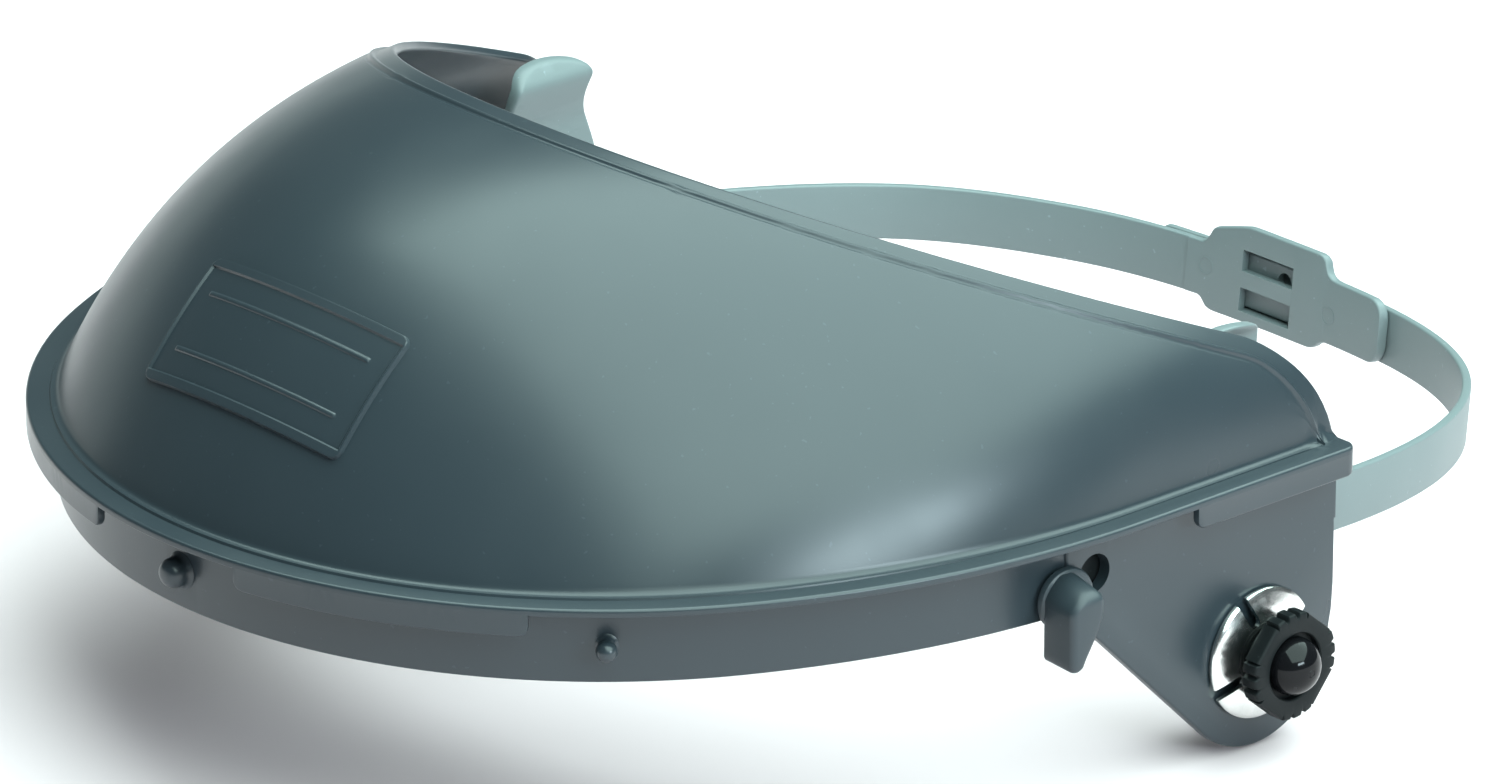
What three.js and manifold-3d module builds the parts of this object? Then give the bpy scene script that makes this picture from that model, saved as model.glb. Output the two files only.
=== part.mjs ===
// Face shield crown with tilting headgear, millimetres, +Z up, -Y is the front.
// X = 0 is the symmetry plane, Y = 0 is the tilt axis, Z = 0 is the top of the window flange.
import * as THREE from 'three';
import { mergeVertices } from 'three/addons/utils/BufferGeometryUtils.js';
import Module from 'manifold-3d';

const wasm = await Module();
wasm.setup();

// ---------- driving dimensions ----------
const GAP = 0.3;                 // clearance between neighbouring pieces

// window flange, seen from above
const FRONT_RADIUS = 103.6;      // front arc of the flange edge
const FRONT_CENTRE_Y = -59.2;
const FRONT_SPAN = rad(62);      // half angle of the front arc
const HALF_WIDTH = 110.2;        // flange edge at the straight sides
const REAR_Y = 18.7;             // rear end of the crown
const FLANGE_THICK = 1.5;
const WALL_INSET = 5.2;          // outer wall of the band, in from the flange edge
const WALL_THICK = 2.4;
const BAND_HEIGHT = 15.6;
const FLANGE_CORNER = 2;         // rear corners of the flange, seen from above

// window lips under the flange edge
const LIP_THICK = 1.4;
const LIP_DROP = 5.4;
const FRONT_LIP_START = rad(10.2);
const FRONT_LIP_END = rad(41);
const REAR_LIP_START_Y = -20;

// dome
const RIM_HALF_WIDTH = 99.7;
const RIM_DEPTH = 119.5;
const RIM_POWER = 2.17;
const RIM_FRONT_Y = -78.2;
const RIM_FRONT_Z = 55.5;
const RIM_SLOPE = -0.421;        // rise per mm towards the rear
const CORNER_RADIUS = 25;        // rear upper corner of the dome side
const BULGE_PLAN = 0.322;
const BULGE_RISE = 0.876;
const BORDER_WIDTH = 3.8;        // lowered strip along the rim
const BORDER_STEP = 1.1;

// blank name panel on the front of the dome
const PANEL_HALF_WIDTH = 26.3;
const PANEL_HALF_HEIGHT = 12.7;
const PANEL_CORNER = 3.5;
const PANEL_Z = 27.2;
const PANEL_LEAN = rad(45.6);

// ears and pivot
const PIVOT_Z = -35.5;
const EAR_RADIUS = 17.8;
const EAR_FRONT_Y = -46.6;
const PIVOT_HOLE = 3.4;

// window studs, latches
const STUD_Z = -8.5;
const SIDE_STUD_ANGLE = rad(48.4);
const LATCH_Y = -47.4;
const LATCH_Z = -11.8;
const LATCH_RADIUS = 5.8;
const LATCH_SEAT = 0.7;          // the disc stands clear of the ear face
const LEVER_REACH = 10.2;
const LEVER_TOP = 5.3;            // height of the lever at the disc face
const LEVER_TOP_SLOPE = 0.19;     // fall of its top face towards the outer end
const RETAINER_SEAT = 0.8;       // flat plate behind the curved band wall
const RETAINER_RADIUS = 4.4;
const RETAINER_END = [7.4, 2.4];
const WINDOW_HOLE_Y = -40;
const WINDOW_HOLE_Z = -9.4;
const WINDOW_HOLE_RADIUS = 3.6;

// tension hardware on the tilt axis
const WASHER_RADIUS = 12.2;
const WASHER_RISE = 1.9;
const WASHER_THICK = 0.9;
const SLOT_RADIUS = 1.15;        // open slots in the washer's rim
const SLOT_END = 7.9;
const NUT_RADIUS = 10;
const NUT_THICK = 3.4;
const SCREW_RADIUS = 2.6;
const CAP_RADIUS = 5.3;

// headgear
const PLATE_INNER_X = 89.9;
const PLATE_THICK = 2.2;
const PLATE_TOP_Z = 20.4;
const LOOP_TILT = -0.104;        // the band and strap plane drops towards the rear
const STRAP_Z = -11.1;
const STRAP_WIDTH = 10.8;
const STRAP_THICK = 1.6;
const STRAP_HALF_WIDTH = 95.7;
const STRAP_DEPTH = 137.3;
const STRAP_CENTRE_Y = -24.4;
const STRAP_POWER = 2.8;
const TAIL_START = rad(5);       // turns of the strap line, measured from the middle of the back
const TAIL_END = rad(13);
const TAIL_SPRING = 0.5;
const STEP_START = rad(24);
const STEP_END = rad(48);
const KEEPER_THICK = 1.4;
const BUCKLE_TOP = 5.7;          // heights over the top edge of the strap
const BUCKLE_BOTTOM = -13.1;
const NECK_TOP = 1.6;
const NECK_BOTTOM = -10.9;
const SHOULDER_SLOPE = rad(11.9);
const ADJUST_HOLES = [-0.7, 9, 19];
const ADJUST_RADIUS = 1.7;
const ADJUST_Z = -3.1;
const BAND_TOP_Z = -4.6;
const BAND_WIDTH = 18;
const BAND_THICK = 1.8;
const BAND_HALF_WIDTH = 88.7;
const BAND_FRONT_Y = -94;
const PAD_THICK = 6.5;
const PAD_WIDTH = 20;
const STRAP_STUD_Y = 10;
const STUD_RADIUS = 2;
const RIVET_Y = -3;
const RIVET_RADIUS = 1.8;

// ---------- derived values ----------
const SIDE_RADIUS = (HALF_WIDTH - FRONT_RADIUS * Math.sin(FRONT_SPAN)) / (1 - Math.sin(FRONT_SPAN));
const SIDE_CENTRE_X = HALF_WIDTH - SIDE_RADIUS;
const SIDE_CENTRE_Y = FRONT_CENTRE_Y + (SIDE_RADIUS - FRONT_RADIUS) * Math.cos(FRONT_SPAN);
const FRONT_ARC = FRONT_RADIUS * FRONT_SPAN;
const SIDE_ARC = SIDE_RADIUS * (Math.PI / 2 - FRONT_SPAN);
const HALF_LENGTH = FRONT_ARC + SIDE_ARC + (REAR_Y - SIDE_CENTRE_Y);
const EAR_X = HALF_WIDTH - WALL_INSET;
const EAR_INNER_X = EAR_X - WALL_THICK;
const WASHER_X = EAR_X + GAP;
const NUT_BASE_X = WASHER_X + WASHER_RISE + WASHER_THICK + GAP;
const NUT_FACE_X = NUT_BASE_X + 6.2;
const CORNER_CENTRE = rimCornerCentre();

// ---------- materials ----------
const shellPlastic = { color: 0x47585c, roughness: 0.42, metalness: 0 };
const gearPlastic = { color: 0x87a0a0, roughness: 0.5, metalness: 0 };
const blackPlastic = { color: 0x16181a, roughness: 0.4, metalness: 0 };
const glossBlack = { color: 0x0b0c0e, roughness: 0.12, metalness: 0 };
const zinc = { color: 0xb9bdb8, roughness: 0.24, metalness: 1 };
const steel = { color: 0x8d9192, roughness: 0.35, metalness: 1 };
const foam = { color: 0x2b2e31, roughness: 0.95, metalness: 0 };

// ---------- small helpers ----------
function rad(degrees) {
  return degrees * Math.PI / 180;
}

function piece(name, geometry, look) {
  const mesh = new THREE.Mesh(geometry, new THREE.MeshStandardMaterial(look));
  mesh.name = name;
  return mesh;
}

function toSolid(geometry) {
  const plain = geometry.clone();
  plain.deleteAttribute('normal');
  plain.deleteAttribute('uv');
  const merged = mergeVertices(plain, 1e-4);
  const vertProperties = new Float32Array(merged.attributes.position.array);
  const triVerts = new Uint32Array(merged.index.array);
  return new wasm.Manifold(new wasm.Mesh({ numProp: 3, vertProperties, triVerts }));
}

function toGeometry(solid) {
  const mesh = solid.getMesh();
  const indexed = new THREE.BufferGeometry();
  indexed.setAttribute('position', new THREE.BufferAttribute(mesh.vertProperties, 3));
  indexed.setIndex(new THREE.BufferAttribute(mesh.triVerts, 1));
  const flat = indexed.toNonIndexed();
  flat.computeVertexNormals();
  return flat;
}

function addAll(solids) {
  return solids.reduce((sum, next) => sum.add(next));
}

function moved(geometry, x, y, z) {
  geometry.translate(x, y, z);
  return geometry;
}

// closed solid from two matching point grids: front[i][j] outside, back[i][j] inside
function slabFromGrids(front, back) {
  const rows = front.length;
  const columns = front[0].length;
  const positions = [];
  const quad = (a, b, c, d) => {
    for (const p of [a, b, c, a, c, d]) {
      positions.push(p.x, p.y, p.z);
    }
  };
  for (let i = 0; i < rows - 1; i++) {
    for (let j = 0; j < columns - 1; j++) {
      quad(front[i][j], front[i][j + 1], front[i + 1][j + 1], front[i + 1][j]);
      quad(back[i][j], back[i + 1][j], back[i + 1][j + 1], back[i][j + 1]);
    }
    quad(front[i][0], front[i + 1][0], back[i + 1][0], back[i][0]);
    const last = columns - 1;
    quad(front[i][last], back[i][last], back[i + 1][last], front[i + 1][last]);
  }
  for (let j = 0; j < columns - 1; j++) {
    quad(front[0][j], back[0][j], back[0][j + 1], front[0][j + 1]);
    const last = rows - 1;
    quad(front[last][j], front[last][j + 1], back[last][j + 1], back[last][j]);
  }
  const geometry = new THREE.BufferGeometry();
  geometry.setAttribute('position', new THREE.Float32BufferAttribute(positions, 3));
  geometry.computeVertexNormals();
  return geometry;
}

// plan shape between two open lines of points, extruded upwards from z
function ribbon(outer, inner, z, height) {
  const shape = new THREE.Shape([...outer, ...inner.slice().reverse()]);
  const geometry = new THREE.ExtrudeGeometry(shape, { depth: height, bevelEnabled: false });
  return moved(geometry, 0, 0, z);
}

// cylinder along X between two stations
function rodX(radius, x0, x1, y, z, sides = 32) {
  const geometry = new THREE.CylinderGeometry(radius, radius, Math.abs(x1 - x0), sides);
  geometry.rotateZ(Math.PI / 2);
  return moved(geometry, (x0 + x1) / 2, y, z);
}

// turned piece about the X axis: profile points are [radius, x]
function turnedX(profile, sides = 40) {
  const points = profile.map(([r, x]) => new THREE.Vector2(r, x));
  const geometry = new THREE.LatheGeometry(points, sides);
  geometry.rotateZ(-Math.PI / 2);
  return geometry;
}

// ---------- plan line of the flange ----------
// distance is measured along the flange edge from the front, + towards the left side (+X)
function planPoint(distance, inset) {
  const side = Math.sign(distance) || 1;
  const d = Math.abs(distance);
  let x;
  let y;
  let angle;
  if (d < FRONT_ARC) {
    angle = d / FRONT_RADIUS;
    x = (FRONT_RADIUS - inset) * Math.sin(angle);
    y = FRONT_CENTRE_Y - (FRONT_RADIUS - inset) * Math.cos(angle);
  } else if (d < FRONT_ARC + SIDE_ARC) {
    angle = FRONT_SPAN + (d - FRONT_ARC) / SIDE_RADIUS;
    x = SIDE_CENTRE_X + (SIDE_RADIUS - inset) * Math.sin(angle);
    y = SIDE_CENTRE_Y - (SIDE_RADIUS - inset) * Math.cos(angle);
  } else {
    angle = Math.PI / 2;
    x = HALF_WIDTH - inset;
    y = SIDE_CENTRE_Y + d - FRONT_ARC - SIDE_ARC;
  }
  return { x: side * x, y, angle: side * angle };
}

function planLine(inset, from, to, steps) {
  const line = [];
  for (let i = 0; i <= steps; i++) {
    const p = planPoint(from + (to - from) * i / steps, inset);
    line.push(new THREE.Vector2(p.x, p.y));
  }
  return line;
}

// flange edge: full width, drawn in round the rear corners
function flangeEdge() {
  const line = planLine(0, FLANGE_CORNER - HALF_LENGTH, HALF_LENGTH - FLANGE_CORNER, 56);
  const y = REAR_Y - FLANGE_CORNER;
  const x = HALF_WIDTH - FLANGE_CORNER;
  for (let i = 1; i <= 6; i++) {
    const turn = Math.PI / 2 * i / 6;
    const ahead = FLANGE_CORNER * Math.sin(turn);
    const out = FLANGE_CORNER * Math.cos(turn);
    line.push(new THREE.Vector2(x + out, y + ahead));
    line.unshift(new THREE.Vector2(-x - out, y + ahead));
  }
  return line;
}

function planRibbon(outerInset, innerInset, from, to, steps, z, height) {
  return ribbon(planLine(outerInset, from, to, steps), planLine(innerInset, from, to, steps), z, height);
}

// ---------- dome surface ----------
function rimCornerCentre() {
  const slope = Math.hypot(1, RIM_SLOPE);
  const y = REAR_Y - CORNER_RADIUS;
  const lineZ = RIM_FRONT_Z + RIM_SLOPE * (y - RIM_FRONT_Y);
  return { y, z: lineZ - CORNER_RADIUS * slope };
}

function rimPoint(share) {
  const endCos = Math.pow((RIM_FRONT_Y + RIM_DEPTH - REAR_Y) / RIM_DEPTH, RIM_POWER / 2);
  const turn = Math.abs(share) * Math.acos(endCos);
  const x = RIM_HALF_WIDTH * Math.pow(Math.sin(turn), 2 / RIM_POWER) * Math.sign(share);
  const y = RIM_FRONT_Y + RIM_DEPTH * (1 - Math.pow(Math.cos(turn), 2 / RIM_POWER));
  return { x, y, z: RIM_FRONT_Z + RIM_SLOPE * (y - RIM_FRONT_Y), turn };
}

function footDistance(share) {
  const q = Math.abs(share);
  const start = rimPoint(1).turn * FRONT_RADIUS;
  return Math.sign(share) * (start * q + (HALF_LENGTH - start) * Math.pow(q, 4));
}

function domeRaw(share, rise) {
  const foot = planPoint(footDistance(share), WALL_INSET);
  const rim = rimPoint(share);
  const a = (1 - rise) * (1 - rise);
  const b = 2 * rise * (1 - rise);
  const c = rise * rise;
  const controlX = foot.x + (rim.x - foot.x) * BULGE_PLAN;
  const controlY = foot.y + (rim.y - foot.y) * BULGE_PLAN;
  const x = a * foot.x + b * controlX + c * rim.x;
  const y = a * foot.y + b * controlY + c * rim.y;
  const z = -0.5 * a + b * rim.z * BULGE_RISE + c * rim.z;
  return new THREE.Vector3(x, y, z);
}

function domeNormal(share, rise) {
  const e = 1e-3;
  const low = Math.max(share - e, -1);
  const high = Math.min(share + e, 1);
  const along = domeRaw(high, rise).sub(domeRaw(low, rise));
  const up = domeRaw(share, Math.min(rise + e, 1)).sub(domeRaw(share, Math.max(rise - e, 0)));
  return along.cross(up).normalize();
}

// point on the dome, pushed outwards along its normal
function domePoint(share, rise, push) {
  return domeRaw(share, rise).addScaledVector(domeNormal(share, rise), push);
}

// side view distance outside the trimmed outline (rim line, rounded corner, rear edge)
function outsideOutline(p) {
  const tilt = Math.hypot(1, RIM_SLOPE);
  const y = p.y - CORNER_CENTRE.y;
  const z = p.z - CORNER_CENTRE.z;
  const overRim = (-RIM_SLOPE * y + z) / tilt;
  const inCorner = z > 0 && y > -RIM_SLOPE * z;
  return (inCorner ? Math.hypot(y, z) : Math.max(overRim, y)) - CORNER_RADIUS;
}

// largest value of rise for which test(rise) is still negative
function lastInside(test, top) {
  let low = 0;
  let high = top;
  if (test(high) <= 0) {
    return high;
  }
  for (let i = 0; i < 40; i++) {
    const mid = (low + high) / 2;
    if (test(mid) > 0) {
      high = mid;
    } else {
      low = mid;
    }
  }
  return low;
}

function domeTop(share) {
  return Math.max(lastInside((rise) => outsideOutline(domeRaw(share, rise)), 1), 0.04);
}

function domeColumns(count) {
  const shares = [];
  for (let i = 0; i <= count; i++) {
    const t = 2 * i / count - 1;
    shares.push(Math.sign(t) * (1 - Math.pow(1 - Math.abs(t), 1.5)));
  }
  return shares;
}

function domeSolid() {
  const shares = domeColumns(88);
  const tops = shares.map(domeTop);
  const rim = shares.map((share, i) => domeRaw(share, tops[i]));
  const toRim = (p) => {
    let best = Infinity;
    for (let i = 0; i < rim.length - 1; i++) {
      const segment = new THREE.Line3(rim[i], rim[i + 1]);
      best = Math.min(best, segment.closestPointToPoint(p, true, new THREE.Vector3()).distanceTo(p));
    }
    return best;
  };
  const creases = shares.map((share, i) => {
    const allBorder = toRim(domeRaw(share, 0)) < BORDER_WIDTH;
    return allBorder ? tops[i] * 0.02 : edgeOf(share, tops[i], toRim);
  });
  const outer = [];
  const inner = [];
  const mainRows = 7;
  for (let row = 0; row <= mainRows; row++) {
    outer.push(shares.map((share, i) => domePoint(share, creases[i] * row / mainRows, 0)));
    inner.push(shares.map((share, i) => domePoint(share, creases[i] * row / mainRows, -WALL_THICK)));
  }
  for (const row of [0.06, 1]) {
    const rises = shares.map((share, i) => creases[i] + (tops[i] - creases[i]) * row);
    outer.push(shares.map((share, i) => domePoint(share, rises[i], -BORDER_STEP)));
    inner.push(shares.map((share, i) => domePoint(share, rises[i], -WALL_THICK)));
  }
  return toSolid(slabFromGrids(outer, inner));
}

// rise at which the surface comes within the border width of the rim
function edgeOf(share, top, toRim) {
  let low = 0;
  let high = top;
  for (let i = 0; i < 40; i++) {
    const mid = (low + high) / 2;
    if (toRim(domeRaw(share, mid)) > BORDER_WIDTH) {
      low = mid;
    } else {
      high = mid;
    }
  }
  return low;
}

// ---------- crown shell ----------
// dome coordinates of a point given by its X and its height up the leaning panel plane
function panelCoordinates(x, height) {
  const middle = lastInside((rise) => domeRaw(0, rise).z - PANEL_Z, 1);
  const centre = domeRaw(0, middle);
  const up = new THREE.Vector3(0, Math.sin(PANEL_LEAN), Math.cos(PANEL_LEAN));
  let share = x / 110;
  let rise = middle + height / 90;
  for (let i = 0; i < 12; i++) {
    const p = domeRaw(share, rise);
    share += (x - p.x) / 130;
    rise += (height - p.sub(centre).dot(up)) / 95;
  }
  return { share, rise };
}

function panelPatch(halfWidth, low, high, corner, proud) {
  const rows = 8;
  const columns = 12;
  const front = [];
  const back = [];
  const half = (high - low) / 2;
  for (let i = 0; i <= rows; i++) {
    const v = -Math.cos(Math.PI * i / rows) * half;
    const past = Math.max(Math.abs(v) - (half - corner), 0) / corner;
    const reach = halfWidth - corner * (1 - Math.sqrt(Math.max(1 - past * past, 0)));
    const frontRow = [];
    const backRow = [];
    for (let j = 0; j <= columns; j++) {
      const u = reach * (2 * j / columns - 1);
      const at = panelCoordinates(u, (low + high) / 2 + v);
      frontRow.push(domePoint(at.share, at.rise, proud));
      backRow.push(domePoint(at.share, at.rise, -1));
    }
    front.push(frontRow);
    back.push(backRow);
  }
  return toSolid(slabFromGrids(front, back));
}

function earOutline() {
  const distance = Math.hypot(EAR_FRONT_Y, BAND_HEIGHT + PIVOT_Z);
  const toStart = Math.atan2(-BAND_HEIGHT - PIVOT_Z, EAR_FRONT_Y);
  const tangent = toStart + Math.acos(EAR_RADIUS / distance);
  const shape = new THREE.Shape();
  shape.moveTo(EAR_FRONT_Y, -BAND_HEIGHT + 1);
  shape.lineTo(EAR_RADIUS * Math.cos(tangent), PIVOT_Z + EAR_RADIUS * Math.sin(tangent));
  shape.absarc(0, PIVOT_Z, EAR_RADIUS, tangent, 2 * Math.PI, false);
  shape.lineTo(REAR_Y, PIVOT_Z + 8);
  shape.lineTo(REAR_Y, -0.6);
  shape.lineTo(EAR_FRONT_Y, -0.6);
  return shape;
}

// profile drawn in (Y, Z), extruded along X
function sideExtrude(shape, x0, x1, segments = 12) {
  const geometry = new THREE.ExtrudeGeometry(shape, {
    depth: x1 - x0, bevelEnabled: false, curveSegments: segments,
  });
  geometry.rotateX(Math.PI / 2);
  geometry.rotateZ(Math.PI / 2);
  return moved(geometry, x0, 0, 0);
}

function ear(side) {
  const x0 = side > 0 ? EAR_INNER_X : -EAR_X;
  return toSolid(sideExtrude(earOutline(), x0, x0 + WALL_THICK, 16));
}

function windowStud(angle, neck, length) {
  const base = FRONT_RADIUS - WALL_INSET - 1;
  const profile = [
    [0, base], [neck, base], [neck, base + 1 + length * 0.62],
    [neck * 0.8, base + 1 + length * 0.88], [neck * 0.4, base + 1 + length], [0, base + 1 + length],
  ];
  const geometry = turnedX(profile, 20);
  geometry.rotateZ(angle - Math.PI / 2);
  return toSolid(moved(geometry, 0, FRONT_CENTRE_Y, STUD_Z));
}

function windowLips() {
  const lips = [];
  const drop = LIP_DROP - 0.5;
  const rearStart = FRONT_ARC + SIDE_ARC + REAR_LIP_START_Y - SIDE_CENTRE_Y;
  for (const side of [-1, 1]) {
    const from = side * FRONT_LIP_START * FRONT_RADIUS;
    const to = side * FRONT_LIP_END * FRONT_RADIUS;
    const start = Math.min(from, to);
    const end = Math.max(from, to);
    lips.push(toSolid(planRibbon(0, LIP_THICK, start, end, 12, -LIP_DROP, drop)));
    const rearEnd = HALF_LENGTH - 0.6 * FLANGE_CORNER;
    const low = Math.min(side * rearStart, side * rearEnd);
    const high = Math.max(side * rearStart, side * rearEnd);
    lips.push(toSolid(planRibbon(0, LIP_THICK, low, high, 4, -LIP_DROP, drop)));
  }
  return lips;
}

function latchPlace(side) {
  const angle = Math.acos((SIDE_CENTRE_Y - LATCH_Y) / (SIDE_RADIUS - WALL_INSET));
  const x = SIDE_CENTRE_X + (SIDE_RADIUS - WALL_INSET) * Math.sin(angle);
  return { x: side * x, y: LATCH_Y, turn: side * (angle - Math.PI / 2) };
}

function crossHole(x0, x1, radius, y, z) {
  return toSolid(rodX(radius, x0, x1, y, z, 24));
}

function crownShell() {
  const end = HALF_LENGTH;
  const flangeInner = planLine(WALL_INSET + 3, -end, end, 56);
  const flange = ribbon(flangeEdge(), flangeInner, -FLANGE_THICK, FLANGE_THICK);
  const bandInset = WALL_INSET + WALL_THICK;
  const band = planRibbon(WALL_INSET, bandInset, -end, end, 56, -BAND_HEIGHT, BAND_HEIGHT - 0.6);
  let shell = addAll([
    domeSolid(), toSolid(flange), toSolid(band), ear(1), ear(-1), ...windowLips(),
    windowStud(0, 3.1, 4), windowStud(SIDE_STUD_ANGLE, 2.1, 5), windowStud(-SIDE_STUD_ANGLE, 2.1, 5),
    panelPatch(PANEL_HALF_WIDTH, -PANEL_HALF_HEIGHT, PANEL_HALF_HEIGHT, PANEL_CORNER, 0.7),
    panelPatch(PANEL_HALF_WIDTH - 2.4, PANEL_HALF_HEIGHT - 1.9, PANEL_HALF_HEIGHT - 0.4, 0.6, 1.2),
    panelPatch(PANEL_HALF_WIDTH - 2.4, 0.4 - PANEL_HALF_HEIGHT, 1.9 - PANEL_HALF_HEIGHT, 0.6, 1.2),
  ]);
  for (const side of [-1, 1]) {
    const low = side > 0 ? 90 : -HALF_WIDTH;
    const high = low + HALF_WIDTH - 90;
    shell = shell.subtract(crossHole(low, high, PIVOT_HOLE, 0, PIVOT_Z));
    shell = shell.subtract(crossHole(low, high, WINDOW_HOLE_RADIUS, WINDOW_HOLE_Y, WINDOW_HOLE_Z));
    const latch = latchPlace(side);
    const hole = rodX(2, -6, 6, 0, 0, 24);
    hole.rotateZ(latch.turn);
    shell = shell.subtract(toSolid(moved(hole, latch.x, latch.y, LATCH_Z)));
  }
  return piece('crown_shell', toGeometry(shell), shellPlastic);
}

// ---------- window turn latch ----------
function turnLatch(side) {
  const disc = turnedX([
    [0, LATCH_SEAT], [LATCH_RADIUS, LATCH_SEAT], [LATCH_RADIUS, 1.9], [5, 2.4], [0, 2.4],
  ], 32);
  const shaft = rodX(1.7, -4.6, 1, 0, 0, 20);
  const solid = addAll([toSolid(disc), toSolid(shaft), latchLever()]);
  const name = side > 0 ? 'turn_latch_left' : 'turn_latch_right';
  const mesh = piece(name, mirrored(toGeometry(solid), side), shellPlastic);
  placeOnLatch(mesh, side);
  return mesh;
}

// thumb lever: straight front edge, rear edge drawn in towards the tip
function latchLever() {
  const outline = new THREE.Shape();
  outline.moveTo(-5.2, -9);
  outline.quadraticCurveTo(-5.2, -10.2, -4.4, -10.2);
  outline.lineTo(-3.8, -10.2);
  outline.quadraticCurveTo(-3, -10.2, -2.6, -9.4);
  outline.lineTo(1.2, -3.4);
  outline.lineTo(2.1, 0.4);
  outline.lineTo(2.2, 3.4);
  outline.quadraticCurveTo(2.2, LEVER_TOP, 0.2, LEVER_TOP);
  outline.lineTo(-1.6, LEVER_TOP);
  outline.quadraticCurveTo(-4.6, LEVER_TOP - 0.6, -5.2, 1.6);
  const above = new THREE.BoxGeometry(24, 20, 4);
  above.translate(10, 0, 2);
  above.rotateY(LEVER_TOP_SLOPE);
  above.translate(1.4, 0, LEVER_TOP);
  return toSolid(sideExtrude(outline, 1.4, LEVER_REACH, 5)).subtract(toSolid(above));
}

// plate behind the band wall: holds the latch shaft and backs the window hole
function latchRetainer(side) {
  const face = -WALL_THICK - RETAINER_SEAT;
  const shape = new THREE.Shape();
  const lean = Math.atan2(RETAINER_END[1], RETAINER_END[0]);
  shape.absarc(0, 0, RETAINER_RADIUS, lean + Math.PI / 2, lean + 1.5 * Math.PI, false);
  shape.absarc(...RETAINER_END, RETAINER_RADIUS, lean - Math.PI / 2, lean + Math.PI / 2, false);
  const plate = toSolid(sideExtrude(shape, face - 1, face, 14));
  const solid = plate.subtract(toSolid(rodX(2, face - 3, face + 2, 0, 0, 28)));
  const name = side > 0 ? 'latch_retainer_left' : 'latch_retainer_right';
  const mesh = piece(name, mirrored(toGeometry(solid), side), blackPlastic);
  placeOnLatch(mesh, side);
  return mesh;
}

function placeOnLatch(mesh, side) {
  const at = latchPlace(side);
  mesh.position.set(at.x, at.y, LATCH_Z);
  mesh.rotation.z = at.turn;
}

// copy reflected through X = 0 for the right hand side, faces kept outwards
function mirrored(geometry, side) {
  if (side > 0) {
    return geometry;
  }
  const source = geometry.index ? geometry.toNonIndexed() : geometry.clone();
  source.scale(-1, 1, 1);
  const p = source.attributes.position;
  for (let i = 0; i < p.count; i += 3) {
    const b = new THREE.Vector3().fromBufferAttribute(p, i + 1);
    const c = new THREE.Vector3().fromBufferAttribute(p, i + 2);
    p.setXYZ(i + 1, c.x, c.y, c.z);
    p.setXYZ(i + 2, b.x, b.y, b.z);
  }
  source.deleteAttribute('uv');
  source.computeVertexNormals();
  return source;
}

// ---------- tilt axis hardware ----------
function springWasher(side) {
  const x = WASHER_X;
  const profile = [
    [4, x + WASHER_RISE], [7.5, x + WASHER_RISE * 0.8], [WASHER_RADIUS, x],
    [WASHER_RADIUS, x + WASHER_THICK], [7.5, x + WASHER_RISE * 0.8 + WASHER_THICK],
    [4, x + WASHER_RISE + WASHER_THICK], [4, x + WASHER_RISE],
  ];
  let solid = toSolid(turnedX(profile, 56));
  for (let i = 0; i < 4; i++) {
    const angle = rad(25 + 90 * i);
    const slot = new THREE.BoxGeometry(10, 8, 2 * SLOT_RADIUS);
    slot.translate(x, SLOT_END + 4, 0);
    const end = rodX(SLOT_RADIUS, x - 5, x + 5, SLOT_END, 0, 20);
    slot.rotateX(angle);
    end.rotateX(angle);
    solid = solid.subtract(toSolid(slot)).subtract(toSolid(end));
  }
  const name = side > 0 ? 'spring_washer_left' : 'spring_washer_right';
  return onAxis(piece(name, mirrored(toGeometry(solid), side), zinc));
}

function nutOutline() {
  const flats = 4;
  const points = [];
  const flatHalf = rad(21.5);
  const teeth = 3;
  for (let i = 0; i < flats; i++) {
    const centre = rad(50) + i * Math.PI / 2;
    const span = Math.PI / 2 - 2 * flatHalf;
    for (let k = 0; k < teeth; k++) {
      const start = centre + flatHalf + span * k / teeth;
      const steps = [[0, 0.93], [0.2, 1], [0.62, 1], [0.82, 0.93]];
      for (const [share, size] of steps) {
        const angle = start + span * share / teeth;
        const r = NUT_RADIUS * size;
        points.push(new THREE.Vector2(r * Math.cos(angle), r * Math.sin(angle)));
      }
    }
  }
  return new THREE.Shape(points);
}

function tensionNut(side) {
  const rim = sideExtrude(nutOutline(), NUT_FACE_X - NUT_THICK, NUT_FACE_X);
  const rimBack = NUT_FACE_X - NUT_THICK + 0.5;
  const hub = turnedX([
    [0, NUT_BASE_X], [6.4, NUT_BASE_X], [6.4, NUT_BASE_X + 1], [8.6, rimBack], [0, rimBack],
  ], 36);
  const bore = rodX(SCREW_RADIUS + GAP, NUT_BASE_X - 2, NUT_FACE_X + 2, 0, 0, 28);
  const recess = rodX(CAP_RADIUS + 0.9, NUT_FACE_X - 1.6, NUT_FACE_X + 2, 0, 0, 40);
  const solid = addAll([toSolid(rim), toSolid(hub)]).subtract(toSolid(bore)).subtract(toSolid(recess));
  const name = side > 0 ? 'tension_nut_left' : 'tension_nut_right';
  return onAxis(piece(name, mirrored(toGeometry(solid), side), blackPlastic));
}

function pivotScrew(side) {
  const capX = NUT_FACE_X - 1.6 + GAP;
  const headX = PLATE_INNER_X - GAP;
  const profile = [
    [0, headX - 2.1], [6, headX - 2.1], [6, headX], [SCREW_RADIUS, headX],
    [SCREW_RADIUS, capX], [CAP_RADIUS, capX], [CAP_RADIUS, capX + 0.6],
  ];
  const capSteps = 7;
  for (let i = 1; i <= capSteps; i++) {
    const angle = i * Math.PI / 2 / capSteps;
    const radius = i === capSteps ? 0 : CAP_RADIUS * Math.cos(angle);
    profile.push([radius, capX + 0.6 + CAP_RADIUS * 0.9 * Math.sin(angle)]);
  }
  const name = side > 0 ? 'pivot_screw_left' : 'pivot_screw_right';
  return onAxis(piece(name, mirrored(turnedX(profile, 30), side), glossBlack));
}

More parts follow.
